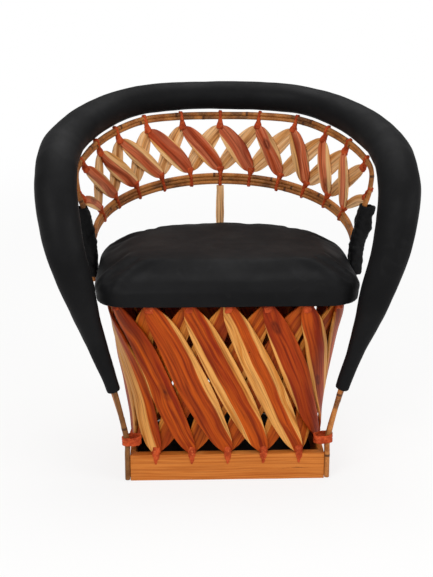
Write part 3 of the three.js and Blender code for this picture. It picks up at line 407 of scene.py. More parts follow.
def rawhide_skin(name):
    finish = Finish(name, roughness=0.55, specular=0.15)
    place = finish.place()
    blotch = finish.noise(place, 55.0, 3.0)
    crease = finish.noise(place, 240.0, 4.0, 0.6, 0.8)
    colour = finish.blend(finish.ramp(blotch, 0.32, 0.68), "#c44e22", "#92300f")
    colour = finish.blend(finish.ramp(crease, 0.5, 0.75, 0.0, 0.6), colour, "#d9743e")
    colour = finish.blend(finish.ramp(crease, 0.25, 0.42, 0.6, 0.0), colour, "#6b2410")
    finish.set("Base Color", colour)
    finish.set("Roughness", finish.ramp(blotch, 0.3, 0.7, 0.48, 0.66))
    finish.bump(crease + blotch * 0.6, 0.0012, 0.7)
    return finish


def pine_wood(name):
    finish = Finish(name, roughness=0.55, specular=0.12)
    across, along, seed = finish.split(finish.attribute("grain"))
    sway = finish.noise(finish.join(across * 6, along * 4, seed), 1.0, 2.0)
    rings = finish.noise(finish.join(across * 250 + sway * 5, along * 4.2, seed), 1.0, 3.0)
    fibre = finish.noise(finish.join(across * 900, along * 12, seed), 1.0, 3.0)
    crack = finish.noise(finish.join(across * 210 + sway * 6, along * 9, seed + 5), 1.0, 4.0, 0.7)
    near_end = finish.ramp(along, 0.07, 0.17)
    colour = finish.blend(finish.ramp(rings, 0.35, 0.68), "#cc7a34", "#ad5c20")
    colour = finish.blend(finish.ramp(fibre, 0.45, 0.75, 0.0, 0.4), colour, "#d8924e")
    colour = finish.blend(finish.ramp(sway, 0.56, 0.74, 0.0, 0.35), colour, "#a5541d")
    line = finish.ramp(crack, 0.645, 0.675) * (near_end * 0.85 + 0.08)
    colour = finish.blend(line, colour, "#3f1d0c")
    finish.set("Base Color", colour)
    finish.set("Roughness", finish.ramp(fibre, 0.3, 0.7, 0.45, 0.65))
    finish.bump(rings * 0.4 + fibre * 0.5 - line, 0.0008, 0.5)
    return finish


def black_leather(name, crumple=0.0):
    finish = Finish(name, roughness=0.6, specular=0.09)
    place = finish.place()
    pebble = finish.cells(place, 620.0)
    fine = finish.noise(place, 900.0, 2.0)
    crease = finish.noise(place, 26.0, 5.0, 0.62, 1.2)
    wear = finish.noise(place, 9.0, 4.0, 0.6)
    colour = finish.blend(finish.ramp(wear, 0.35, 0.7), "#0f0f10", "#141415")
    colour = finish.blend(finish.ramp(crease, 0.56, 0.74, 0.0, 0.4), colour, "#1e1e1f")
    finish.set("Base Color", colour)
    finish.set("Roughness", finish.ramp(wear, 0.3, 0.75, 0.66, 0.5))
    grain = pebble * 0.5 + fine * 0.3
    height = grain * (0.5 - 0.3 * crumple) + crease * (0.5 + crumple * 2.3)
    finish.bump(height, 0.0006 + 0.0022 * crumple, 0.5)
    return finish


cane = cane_skin("peeled_cane")
rawhide = rawhide_skin("dried_rawhide")
pine = pine_wood("oiled_pine")
leather = black_leather("matte_black_leather")
bunched_leather = black_leather("bunched_black_leather", 1.0)
print("finishes:", [m.name for m in bpy.data.materials])

# %% Helpers for every piece
STILL = "root"  # nothing on this chair moves
WELD_DISTANCE = 0.00002
AXIS = Vector((0, axis_depth, 0))
chance = np.random.default_rng(11)


def select_only(obj):
    bpy.ops.object.select_all(action="DESELECT")
    obj.select_set(True)
    bpy.context.view_layer.objects.active = obj


def new_object(name, data):
    """Puts a new object at the origin."""
    obj = bpy.data.objects.new(name, data)
    bpy.context.scene.collection.objects.link(obj)
    return obj


def edit(obj, *steps):
    """Runs operators, each with its settings, on a mesh that is all selected at first."""
    select_only(obj)
    bpy.ops.object.mode_set(mode="EDIT")
    bpy.ops.mesh.select_all(action="SELECT")
    for step, settings in steps:
        step(**settings)
    bpy.ops.object.mode_set(mode="OBJECT")


SELECT_ALL = (bpy.ops.mesh.select_all, {"action": "SELECT"})
FACE_OUTWARDS = (bpy.ops.mesh.normals_make_consistent, {"inside": False})


def extrude(way):
    return bpy.ops.mesh.extrude_region_move, {"TRANSFORM_OT_translate": {"value": way}}


def primitive(name, add, **settings):
    add(**settings)
    bpy.context.object.name = name
    return bpy.context.object


def mesh_object(name, points, faces, edges=()):
    mesh = bpy.data.meshes.new(name)
    mesh.from_pydata([tuple(point) for point in points], list(edges), faces)
    return new_object(name, mesh)


def tube(name, places, radius, resolution, swell=(), closed=False):
    """A round stem through places, from a Curve object that is converted to a mesh."""
    curve = bpy.data.curves.new(name, "CURVE")
    curve.dimensions = "3D"
    curve.bevel_depth = radius
    curve.bevel_resolution = resolution
    curve.use_fill_caps = not closed
    spline = curve.splines.new("POLY")
    spline.points.add(len(places) - 1)
    spline.use_cyclic_u = closed
    for i, (point, place) in enumerate(zip(spline.points, places)):
        point.co = (*place, 1)
        point.radius = swell[i] if len(swell) else 1
    select_only(new_object(name, curve))
    bpy.ops.object.convert(target="MESH")
    return bpy.context.object


def apply_modifier(obj, kind, **settings):
    select_only(obj)
    modifier = obj.modifiers.new(kind.lower(), kind)
    for key, value in settings.items():
        setattr(modifier, key, value)
    bpy.ops.object.modifier_apply(modifier=modifier.name)


def bevel(obj, width, segments=2):
    apply_modifier(obj, "BEVEL", width=width, segments=segments, limit_method="ANGLE",
                   angle_limit=math.radians(50))


def smooth(obj, degrees=40):
    select_only(obj)
    bpy.ops.object.shade_smooth_by_angle(angle=math.radians(degrees))


def points_of(obj):
    flat = np.empty(len(obj.data.vertices) * 3)
    obj.data.vertices.foreach_get("co", flat)
    return flat.reshape(-1, 3)


def move_points(obj, points):
    obj.data.vertices.foreach_set("co", np.asarray(points, float).ravel())
    obj.data.update()


def cut_below(obj, height):
    """Lifts what lies below a height up to it."""
    points = points_of(obj)
    points[:, 2] = np.maximum(points[:, 2], height)
    move_points(obj, points)
    return points


def write_attribute(obj, name, rows):
    layer = obj.data.attributes.new(name, "FLOAT_VECTOR", "POINT")
    layer.data.foreach_set("vector", np.asarray(rows, float).ravel())


def write_wood(obj, grain, heart, knot):
    """What the cedar finish reads: heart and knot are the same all over a piece."""
    write_attribute(obj, "grain", grain)
    write_attribute(obj, "heart", [heart] * len(grain))
    write_attribute(obj, "knot", [knot] * len(grain))


def dress(obj, finish, slot, *nodes):
    """Gives a finished piece its material and hides the nodes that it stands for; the slot is not
    used.
    """
    obj.data.materials.clear()
    obj.data.materials.append(finish.material)
    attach(obj, STILL)
    if nodes:
        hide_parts(*nodes)
    return obj


def ripple(obj, size, height, seed):
    """Moves each point along its normal by a smooth random amount."""
    points = points_of(obj)
    normals = np.empty(points.size)
    obj.data.vertices.foreach_get("normal", normals)
    shift = Vector((seed * 3.7, seed, 0))
    push = np.array([noise.noise(Vector(point) / size + shift) for point in points])
    move_points(obj, points + normals.reshape(-1, 3) * push[:, None] * height)


def copy_of_node(node, name):
    """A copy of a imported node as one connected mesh."""
    obj = new_object(name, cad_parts[node].data.copy())
    edit(obj, (bpy.ops.mesh.remove_doubles, {"threshold": WELD_DISTANCE}))
    return obj


print("helpers ready")

# %% [markdown]
# ## The slats
#
# Each slat is split from a log with a froe, shaved to a leaf and left with rounded edges. The
# packed slat has the right place, twist and outline, in eight flat-sided stations. The fine slat
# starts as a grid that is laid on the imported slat's middle surface by smooth curves through those
# stations. A Solidify modifier gives it its thickness and a Bevel modifier its rounded edges.

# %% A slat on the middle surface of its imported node
SLAT_COLUMNS = 10
SLAT_ROWS = 40
EDGE_WANDER_SHARE = 0.03  # how much the split edges wander, over half the width
FACE_WANDER = 0.0005


def middle_lines(node, points_per_station, level):
    """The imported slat's stations from foot to head, each as points from edge to edge."""
    copy = copy_of_node(node, "slat_measure")
    points = points_of(copy)
    bpy.data.objects.remove(copy)
    span = points[points[:, 2].argmax()] - points[points[:, 2].argmin()]
    order = points @ ((0, 0, 1) if level else span)
    stations = points[order.argsort()].reshape(-1, points_per_station, 3)
    lines = []
    across = None
    for ring in stations:
        gaps = np.linalg.norm(ring[:, None] - ring[None], axis=2)
        first, last = np.unravel_index(gaps.argmax(), gaps.shape)
        way = ring[last] - ring[first]
        if way @ (across if across is not None else np.array((1.0, 0.35, 0))) < 0:
            way = -way
        across = way
        ring = ring[(ring @ way).argsort()]
        pairs = ring[1:-1].reshape(-1, 2, 3).mean(axis=1)
        lines.append(np.vstack((ring[0], pairs, ring[-1])))
    return np.array(lines)


def smooth_between(rows, place):
    """A Catmull-Rom value between evenly numbered rows."""
    last = len(rows) - 1
    i = min(int(place), last - 1)
    t = place - i
    before = rows[i - 1] if i else 2 * rows[0] - rows[1]
    after = rows[i + 2] if i + 2 <= last else 2 * rows[last] - rows[last - 1]
    here, there = rows[i], rows[i + 1]
    second = 2 * before - 5 * here + 4 * there - after
    third = 3 * here - before - 3 * there + after
    return 0.5 * (2 * here + (there - before) * t + second * t ** 2 + third * t ** 3)


def slat(name, lines, thickness, seed, heart, knot):
    """heart is the heartwood's middle and half width over the slat's half width, and its redness.
    knot is its place across over the half width, its place along over the length, and its
    radius."""
    half_widths = np.linalg.norm(lines[:, -1] - lines[:, 0], axis=1) / 2
    curves = []  # a parabola across each station: its square, slope and middle
    for line in lines:
        share = np.linalg.norm(line - line[0], axis=1)
        curves.append(np.polyfit(share / share[-1] * 2 - 1, line, 2))
    curves = np.array(curves)
    steps = np.linalg.norm(np.diff(curves[:, 2], axis=0), axis=1)
    way = np.concatenate(([0], np.cumsum(steps)))
    length = way[-1]
    widest = half_widths.max()
    obj = primitive(name, bpy.ops.mesh.primitive_grid_add, x_subdivisions=SLAT_COLUMNS,
                    y_subdivisions=SLAT_ROWS, size=2)
    flat = points_of(obj)
    places, grain = [], []
    for x, y, _ in flat:
        along = (y + 1) / 2 * length
        station = float(np.interp(along, way, range(len(way))))
        square, slope, middle = smooth_between(curves, station)
        edge = noise.noise(Vector((along * 16, seed * 1.7, math.copysign(2.0, x) * abs(x))))
        side = x * (1 + EDGE_WANDER_SHARE * edge * abs(x))
        point = square * side * side + slope * side + middle
        facing = np.cross(slope, np.array((0, 0, 1.0)))
        lift = noise.noise(Vector((side * widest * 55, along * 5, seed * 2.3)))
        places.append(point + facing / np.linalg.norm(facing) * lift * FACE_WANDER)
        grain.append((side * np.linalg.norm(slope), along, seed))
    move_points(obj, places)
    write_wood(obj, grain, (heart[0] * widest, heart[1] * widest, heart[2]),
               (knot[0] * widest, knot[1] * length, knot[2]))
    thin = obj.vertex_groups.new(name="thickness")
    for vertex, (x, y, _) in zip(obj.data.vertices, flat):
        thin.add([vertex.index], 0.8 + 0.2 * min(1, (1 - abs(y)) / 0.25), "REPLACE")
    apply_modifier(obj, "SOLIDIFY", thickness=thickness, offset=0, vertex_group="thickness")
    bevel(obj, thickness * 0.3)
    obj.vertex_groups.clear()
    smooth(obj, 50)
    return obj


# %% [markdown]
# The photograph shows what each front slat is like: slat 3 is almost all heartwood with a knot,
# slat 5 has sapwood on both edges, slat 6 only a dark stripe, and slat 7 is deep red. The others
# get values from a seeded table of chance, so they come out the same on each run.

# %% The barrel
SLAT_COUNT = 18
SLAT_THICKNESS = 0.005
BARREL_LAYERS = (("outer", slat_cedar, "heartwood"), ("inner", inner_cedar, "sapwood"))
NO_KNOT = 0.0004  # a radius too small to show
# Heartwood middle, half width and redness, then knot place across, along and radius
FRONT_SLATS = {
    1: ((0.3, 0.55, 0.15), (0.2, 0.7, NO_KNOT)),
    2: ((0.55, 0.4, 0.1), (0.2, 0.7, NO_KNOT)),
    3: ((0.08, 1.05, 0.12), (0.25, 0.42, 0.008)),
    4: ((-0.42, 0.98, 0.3), (0.1, 0.2, NO_KNOT)),
    5: ((0.05, 0.56, 0.22), (0.1, 0.2, NO_KNOT)),
    6: ((0.1, 0.34, 0.35), (0.1, 0.2, NO_KNOT)),
    7: ((0.2, 0.98, 0.75), (-0.1, 0.84, 0.007)),
}


def chance_look():
    heart = (chance.uniform(-0.5, 0.5), chance.uniform(0.45, 1.0), chance.uniform(0, 0.5))
    radius = 0.006 if chance.uniform() < 0.3 else NO_KNOT
    return heart, (chance.uniform(-0.4, 0.4), chance.uniform(0.2, 0.8), radius)


barrel_lines = {}
for number in range(1, SLAT_COUNT + 1):
    for layer, finish, slot in BARREL_LAYERS:
        node = f"barrel_{layer}_slat_{number:02d}"
        heart, knot = chance_look()
        if layer == "outer":
            heart, knot = FRONT_SLATS.get(number, (heart, knot))
        lines = middle_lines(node, 8, True)
        barrel_lines[layer, number] = lines
        seed = number + (0 if layer == "outer" else 40)
        piece = slat(f"{layer}_slat_{number:02d}", lines, SLAT_THICKNESS, seed, heart, knot)
        dress(piece, finish, slot, node)
print("barrel:", 2 * SLAT_COUNT, "slats of", len(piece.data.polygons), "faces")

# %% [markdown]
# ## The back's slats
#
# The back has the same kind of lattice, but smaller: eleven red-brown slats in front and eleven
# paler ones behind that lean the other way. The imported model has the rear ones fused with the
# upper hoop. Each is the mirror image of a front slat, a slat's gap further back, so it is made
# from that slat's stations with the left and right changed over.

# %% Front and rear slats of the back
BACK_SLAT_COUNT = 11
BACK_SLAT_THICKNESS = 0.0044
BACK_SLAT_OFFSET = 0.0035  # from the surface between the two layers, halfway along a slat
BACK_TIP_OFFSET = 0.0023
BACK_LOOKS = {
    1: (0.1, 0.75, 0.1), 2: (0.1, 0.7, 0.1), 3: (-0.25, 0.5, 0.15), 4: (-0.05, 0.45, 0.4),
    5: (0.1, 0.68, 0.75), 6: (0.12, 0.8, 0.7), 7: (0.15, 0.8, 0.8), 8: (0.0, 0.75, 0.5),
    9: (0.25, 0.6, 0.2), 10: (-0.2, 0.55, 0.1), 11: (0.0, 0.6, 0.1),
}


def mirrored_behind(lines):
    """A front slat's stations, mirrored left to right and moved to the layer behind."""
    moved = []
    for i, line in enumerate(lines):
        share = i / (len(lines) - 1)
        offset = BACK_TIP_OFFSET
        offset += (BACK_SLAT_OFFSET - BACK_TIP_OFFSET) * math.sin(math.pi * share) ** 0.4
        before = lines[max(i - 1, 0)].mean(axis=0)
        after = lines[min(i + 1, len(lines) - 1)].mean(axis=0)
        back = np.cross(line[-1] - line[0], after - before)
        back *= np.sign(back[1] + back[0] * line[0][0]) / np.linalg.norm(back)
        moved.append(((line + back * 2 * offset) * (-1, 1, 1))[::-1])
    return np.array(moved)


back_lines = {}
for number in range(1, BACK_SLAT_COUNT + 1):
    node = f"back_front_slat_{number:02d}"
    lines = middle_lines(node, 6, False)
    back_lines["front", number] = lines
    back_lines["rear", number] = mirrored_behind(lines)
    _, knot = chance_look()
    front = slat(f"back_slat_front_{number:02d}", lines, BACK_SLAT_THICKNESS, 70 + number,
                 BACK_LOOKS[number], knot)
    dress(front, back_cedar, "heartwood", node)
    heart, knot = chance_look()
    rear = slat(f"back_slat_rear_{number:02d}", back_lines["rear", number],
                BACK_SLAT_THICKNESS, 90 + number, (heart[0], 0.3, 0.0), knot)
    dress(rear, rear_cedar, "sapwood", "back_upper_hoop")
print("back:", 2 * BACK_SLAT_COUNT, "slats")

# %% [markdown]
# ## Canes and hoops
#
# The arch and both back hoops are bundles of peeled cane, bound side by side and bent along
# curves in space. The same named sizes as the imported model's, in metres, give their routes, and
# every cane of a bundle runs beside that route at its own place in the section. A cane is a Curve
# object with a round bevel, whose radius swells at the nodes, and it is then converted to a mesh.

# %% Routes through points
class Route:
    """A centripetal Catmull-Rom curve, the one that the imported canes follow."""

    STEPS = 200
    SHARES = np.linspace(0, 1, STEPS + 1)

    def __init__(self, points):
        self.points = [Vector(point) for point in points]
        self.spans = len(self.points) - 1
        places = [self.at(i / self.STEPS) for i in range(self.STEPS + 1)]
        steps = [(there - here).length for here, there in zip(places, places[1:])]
        self.way = np.concatenate(([0], np.cumsum(steps)))
        self.length = float(self.way[-1])

    def at(self, share):
        place = min(max(share, 0), 1) * self.spans
        i = min(int(place), self.spans - 1)
        t = place - i
        here, there = self.points[i], self.points[i + 1]
        before = self.points[i - 1] if i else here * 2 - there
        after = self.points[i + 2] if i + 2 <= self.spans else there * 2 - here
        gap0, gap1, gap2 = [math.sqrt((b - a).length) for a, b in
                            ((before, here), (here, there), (there, after))]
        leave = ((here - before) / gap0 - (there - before) / (gap0 + gap1)
                 + (there - here) / gap1) * gap1
        meet = ((there - here) / gap1 - (after - here) / (gap1 + gap2)
                + (after - there) / gap2) * gap1
        return (here + leave * t + (there * 3 - here * 3 - leave * 2 - meet) * t ** 2
                + (here * 2 - there * 2 + leave + meet) * t ** 3)

    def share_at(self, way_share):
        """The share of the points' numbering at a share of the length."""
        return float(np.interp(way_share * self.length, self.way, self.SHARES))


def mirrored(points):
    left = [Vector((-x, y, z)) for x, y, z in points[:-1]]
    return left + [Vector(point) for point in points[::-1]]


def frame_at(route, share, low, high):
    """A place on a route, the way along it, the way out of the chair, and the one square to both.
    That turns from sideways to outwards while the route rises from the low height to the high."""
    point = route.at(share)
    tangent = (route.at(share + 0.0001) - route.at(share - 0.0001)).normalized()
    lift = min(max((point.z - low) / (high - low), 0), 1)
    lift = lift * lift * (3 - 2 * lift)
    out = Vector((point.x, point.y * lift, 0))
    out = (out - tangent * out.dot(tangent)).normalized()
    return point, tangent, out, tangent.cross(out).normalized()


# Arch
BOARD_LENGTH = 0.408
BOARD_HEIGHT = 0.058
BOARD_THICKNESS = 0.020
BOARD_FORWARD = 0.207
CANE_RADIUS = 0.0055
ARCH_HALF_SPAN = 0.347
ARCH_FORWARD = 0.230
ARCH_DEPTH = ARCH_FORWARD + 0.272
ARCH_HEIGHT = 0.743
ROLL_THICKNESS = 0.086
ROLL_FLATNESS_SHARE = 0.91
FOOT_FORWARD = 0.200
FOOT_CLEARANCE = 0.003
FOOT_BEND_HEIGHT = 0.085
ARCH_TURN = (FOOT_BEND_HEIGHT, 0.300)  # heights for frame_at
FIT_GAP = 0.0003  # between two pieces that touch
FOOT_SIDE = BOARD_LENGTH / 2 + FIT_GAP + CANE_RADIUS
# Side, depth, height and thickness of the arch from the leather's end to the middle of the back
ARCH_SHARES = (
    (0.677, 0.036, 0.276, 0.36), (0.755, 0.016, 0.401, 0.5), (0.837, 0.0, 0.525, 0.74),
    (0.945, 0.008, 0.693, 0.93), (0.99, 0.075, 0.808, 1.0), (1.0, 0.18, 0.868, 1.0),
    (0.997, 0.336, 0.899, 1.0), (0.95, 0.514, 0.929, 0.97), (0.79, 0.751, 0.966, 0.9),
    (0.565, 0.9, 0.992, 0.84), (0.3, 0.976, 0.999, 0.82), (0, 1, 1, 0.82),
)
FOOT_HEIGHTS = (FOOT_CLEARANCE, BOARD_HEIGHT, FOOT_BEND_HEIGHT)
feet = [(FOOT_SIDE, -FOOT_FORWARD, height) for height in FOOT_HEIGHTS]
arch_points = [(side * ARCH_HALF_SPAN, depth * ARCH_DEPTH - ARCH_FORWARD, height * ARCH_HEIGHT)
               for side, depth, height, _ in ARCH_SHARES]
arch = Route(mirrored(feet + arch_points))
thicknesses = [ARCH_SHARES[0][3]] * len(feet) + [row[3] for row in ARCH_SHARES]
thicknesses = [share * ROLL_THICKNESS for share in thicknesses]


def roll_half(share):
    """Half the roll's thickness at a share of the arch."""
    rows = np.array(thicknesses[:-1] + thicknesses[::-1])
    return float(smooth_between(rows, share * (len(rows) - 1))) / 2


# Hoops
HOOP_CANE_RADIUS = 0.0048
HOOP_PITCH = math.sqrt(3) * HOOP_CANE_RADIUS
SEAT_HALF_WIDTH = 0.268
SEAT_FLARE = 0.008
SEAT_BACK = 0.240
SEAT_UNDERSIDE = 0.386
WRAP_TOP = SEAT_UNDERSIDE + 0.060
HOOP_END_HEIGHT = SEAT_UNDERSIDE - 0.009
HOOP_UPRIGHT_HEIGHT = WRAP_TOP + 0.008
HOOP_TURN = (HOOP_UPRIGHT_HEIGHT, 0.500)
WRAP_THICKNESS = 0.003
HOOP_END_SIDE = SEAT_HALF_WIDTH + SEAT_FLARE + FIT_GAP + WRAP_THICKNESS + FIT_GAP + HOOP_CANE_RADIUS
LASH_THICKNESS = 0.0022
HOOP_ROLL_GAP = 0.0055
UPPER_END_BACK = 0.008
LOWER_END_BACK = 0.038
LOWER_HOOP_BACK = 0.250
LOWER_HOOP_HEIGHT = ARCH_HEIGHT - 0.192
HOOP_DROP_SHARES = ((0.85, 0.2, 0.7), (0.895, -0.3, 0.774), (0.9, -0.2, 0.837))
HOOP_SEAT_ANGLE_SHARES = (0.45, 0.38, 0.32, 0.26, 0.22)
LOWER_TURN_SHARES = (0.06, 0.16, 0.3, 0.46, 0.64, 0.82, 1)


def hoop_feet(back):
    heights = (HOOP_END_HEIGHT, WRAP_TOP, HOOP_UPRIGHT_HEIGHT)
    return [Vector((HOOP_END_SIDE, back, height)) for height in heights]


def lower_route():
    points = hoop_feet(LOWER_END_BACK)
    for share in LOWER_TURN_SHARES:
        turn = share * math.pi / 2
        rise = (LOWER_HOOP_HEIGHT - HOOP_UPRIGHT_HEIGHT) * math.sin(turn) ** 0.8
        points.append(Vector((HOOP_END_SIDE * math.cos(turn),
                              LOWER_END_BACK + (LOWER_HOOP_BACK - LOWER_END_BACK) * math.sin(turn),
                              HOOP_UPRIGHT_HEIGHT + rise)))
    return Route(mirrored(points))


def upper_route():
    points = hoop_feet(UPPER_END_BACK)
    for side, back, height in HOOP_DROP_SHARES:
        points.append(Vector((side * ARCH_HALF_SPAN, back * UPPER_END_BACK, height * ARCH_HEIGHT)))
    last = 2 * (len(feet) + len(arch_points) - 1)
    stack = HOOP_PITCH / 2 + HOOP_CANE_RADIUS
    for i, angle_share in enumerate(HOOP_SEAT_ANGLE_SHARES):
        share = (last / 2 + len(HOOP_SEAT_ANGLE_SHARES) - 1 - i) / last
        point, _, out, third = frame_at(arch, share, *ARCH_TURN)
        half = roll_half(share)
        turn = angle_share * math.pi / 2
        inward = (half + HOOP_CANE_RADIUS + LASH_THICKNESS + HOOP_ROLL_GAP) * math.sin(turn)
        below = half * ROLL_FLATNESS_SHARE + stack + LASH_THICKNESS + HOOP_ROLL_GAP
        below *= math.cos(turn)
        points.append(point - out * inward - third * math.copysign(below, third.z))
    points[-1].x = 0
    return Route(mirrored(points))


lower_hoop = lower_route()
upper_hoop = upper_route()
print("routes:", [round(route.length, 3) for route in (arch, lower_hoop, upper_hoop)], "m")

# %% Canes
CANE_STEP = 0.003
NODE_SPACING = (0.10, 0.17)
NODE_SWELL_SHARE = 0.09


def cane_nodes(length):
    places, place = [], chance.uniform(0.02, 0.12)
    while place < length:
        places.append(place)
        place += chance.uniform(*NODE_SPACING)
    return places or [length / 2]


def add_cane(name, route, heights, side, radius, darkness, swerve):
    """A cane beside a route: side is its distance along the third direction, and darkness is how
    dark it is on the left and on the right. The swerve lets it wander a little, as a bent stem
    does. Blender's vector noise starts anew on each run, so where there is a swerve, a cane's
    course differs from run to run, by up to two millimetres."""
    steps = int(route.length / CANE_STEP)
    places = []
    for i in range(steps + 1):
        share = route.share_at(i / steps)
        point, _, out, third = frame_at(route, share, *heights)
        spot = Vector((i * CANE_STEP * 9, side * 900, darkness[0] * 5))
        wander = noise.noise_vector(spot) * swerve
        places.append(point + third * (side + wander.x) + out * wander.y + AXIS)
    way = np.concatenate(([0], np.cumsum([(b - a).length for a, b in zip(places, places[1:])])))
    nodes = np.array(cane_nodes(way[-1]))
    gaps = np.abs(way[:, None] - nodes[None]).min(axis=1)
    swell = 1 + NODE_SWELL_SHARE * np.exp(-(gaps / 0.004) ** 2)
    obj = tube(name, places, radius, 3, swell)
    tree = KDTree(len(places))
    for i, place in enumerate(places):
        tree.insert(place, i)
    tree.balance()
    nearest = [tree.find(vertex.co)[1] for vertex in obj.data.vertices]
    write_attribute(obj, "cane", [(way[i], gaps[i], darkness[places[i].x > 0]) for i in nearest])
    smooth(obj, 60)
    return obj


# Each bundle's route, its heights, radius, swerve and node, then its canes: name, place in steps
# from the middle, and darkness
BUNDLES = (
    (arch, ARCH_TURN, CANE_RADIUS, 0.0, "arm_arch_canes", (
        ("arch_cane_rear", -0.5, (0.0, 0.3)), ("arch_cane_front", 0.5, (0.75, 0.0)))),
    (upper_hoop, HOOP_TURN, HOOP_CANE_RADIUS, 0.0006, "back_upper_hoop", (
        ("upper_cane_1", -0.5, (0.15, 0.15)), ("upper_cane_2", 0.5, (0.15, 0.15)))),
    (lower_hoop, HOOP_TURN, HOOP_CANE_RADIUS, 0.0006, "back_lower_hoop", (
        ("lower_cane_1", -1, (0.05, 0.05)), ("lower_cane_2", 0, (0.3, 0.3)),
        ("lower_cane_3", 1, (0.05, 0.05)))),
)
for route, heights, radius, swerve, node, canes in BUNDLES:
    for name, step, darkness in canes:
        side = step * (math.sqrt(3) * radius)
        piece = add_cane(name, route, heights, side, radius, darkness, swerve)
        dress(piece, cane, "cane", node)
print("canes: 7, the last has", len(piece.data.polygons), "faces")

# %% [markdown]
# ## Base
#
# The barrel stands on a straight pine board in front and a thin bent hoop behind it, which meet at
# the front corners. The board is a cube primitive that is cut finely, bevelled and left slightly
# uneven, because it was planed by hand. The hoop starts as a line of edges along the D, which is
# extruded upwards, thickened and bevelled.

# %% Board and hoop
HOOP_THICKNESS = 0.012
HOOP_BACK = 0.184
HOOP_ROUND_BACK = 0.020


def add_board():
    middle = (0, -BOARD_FORWARD + BOARD_THICKNESS / 2 + axis_depth, BOARD_HEIGHT / 2)
    size = (BOARD_LENGTH, BOARD_THICKNESS, BOARD_HEIGHT)
    obj = primitive("base_board", bpy.ops.mesh.primitive_cube_add, size=1, location=middle,
                    scale=size)
    bpy.ops.object.transform_apply(location=True, rotation=True, scale=True)
    edit(obj, (bpy.ops.mesh.subdivide, {"number_cuts": 15}))
    bevel(obj, 0.0018, 3)
    ripple(obj, 0.05, 0.0005, 1)
    write_attribute(obj, "grain", [(z, x, 2.0) for x, _, z in cut_below(obj, 0)])
    smooth(obj)
    return dress(obj, pine, "pine", "base_front_board")


def add_base_hoop():
    side = BOARD_LENGTH / 2 - HOOP_THICKNESS / 2
    back = HOOP_BACK - HOOP_THICKNESS / 2 - HOOP_ROUND_BACK
    start = -BOARD_FORWARD + BOARD_THICKNESS + 0.0004
    straight = [(side, y) for y in np.linspace(start, HOOP_ROUND_BACK, 9)[:-1]]
    bend = [(side * math.cos(t), HOOP_ROUND_BACK + back * math.sin(t))
            for t in np.linspace(0, math.pi, 49)]
    line = straight + bend + [(-x, y) for x, y in straight[::-1]]
    edges = [(i, i + 1) for i in range(len(line) - 1)]
    obj = mesh_object("base_hoop_wood", [(x, y + axis_depth, 0) for x, y in line], [], edges)
    edit(obj, *[extrude((0, 0, BOARD_HEIGHT / 4))] * 4, SELECT_ALL, FACE_OUTWARDS)
    way = np.concatenate(([0], np.cumsum(np.linalg.norm(np.diff(np.array(line), axis=0), axis=1))))
    grain = [(z, way[i % len(line)] + 1, 5.0) for i, (_, _, z) in enumerate(points_of(obj))]
    write_attribute(obj, "grain", grain)
    apply_modifier(obj, "SOLIDIFY", thickness=HOOP_THICKNESS, offset=0)
    bevel(obj, 0.0015)
    smooth(obj)
    return dress(obj, pine, "pine", "base_hoop")


for piece in (add_board(), add_base_hoop()):
    print(piece.name, len(piece.data.polygons), "faces")

# %% [markdown]
# ## Rawhide thongs
#
# Wet rawhide thongs tie every pair of crossing slats to what carries them, and they shrink hard
# as they dry. Each one wraps over the slats' tips as a short sleeve. On the base it ends in a
# narrow tail that goes through a hole in the wood, and on the hoops it goes round the canes. A
# sleeve is modelled once for each kind, extruded row by row from a circle, and then copied to
# every tie. Each copy gets its own creases.

# %% Kinds of thong
def sleeve(name, rows, sides=14):
    """A closed skin round the Z axis. Each row gives its height, half width, half depth and place
    along Y, in millimetres."""
    rows = [tuple(x / 1000 for x in row) for row in rows]
    height, wide, deep, shift = rows[0]
    obj = primitive(name, bpy.ops.mesh.primitive_circle_add, vertices=sides, radius=1,
                    fill_type="NGON", location=(0, shift, height))
    obj.scale = (wide, deep, 1)
    bpy.ops.object.transform_apply(location=True, rotation=True, scale=True)
    steps = []
    for next_height, next_wide, next_deep, next_shift in rows[1:]:
        size = (next_wide / wide, next_deep / deep, 1)
        steps += [extrude((0, next_shift - shift, next_height - height)),
                  (bpy.ops.transform.resize,
                   {"value": size, "center_override": (0, next_shift, next_height)})]
        height, wide, deep, shift = next_height, next_wide, next_deep, next_shift
    edit(obj, *steps, SELECT_ALL, FACE_OUTWARDS)
    apply_modifier(obj, "SUBSURF", levels=1, render_levels=1)
    return obj


def joined(name, pieces):
    select_only(pieces[0])
    for piece in pieces[1:]:
        piece.select_set(True)
    bpy.ops.object.join()
    pieces[0].name = name
    return pieces[0]


def base_thong(name, half_wood):
    """Over the tips above the wood, with a tail down its front and one down its back."""
    body = sleeve(name, (
        (-2.0, 8.0, half_wood + 0.8, 0), (1.0, 9.6, half_wood + 1.2, 0), (5.0, 9.9, 9.6, 0),
        (10.0, 9.2, 8.7, 0), (14.0, 8.6, 8.4, 0), (16.0, 7.0, 7.0, 0)))
    tails = []
    for side in (-1, 1):
        front = side * half_wood
        tails.append(sleeve(name + "_tail", (
            (5.0, 6.6, 1.4, front * 0.95), (1.0, 8.6, 1.9, front),
            (-3.0, 8.0, 1.9, front + side * 0.5), (-9.0, 5.6, 1.8, front + side * 0.5),
            (-15.0, 3.4, 1.7, front + side * 0.4), (-19.5, 2.6, 1.9, front + side * 0.2),
            (-21.5, 1.8, 1.2, front - side * 0.4)), 10))
    return joined(name, [body] + tails)


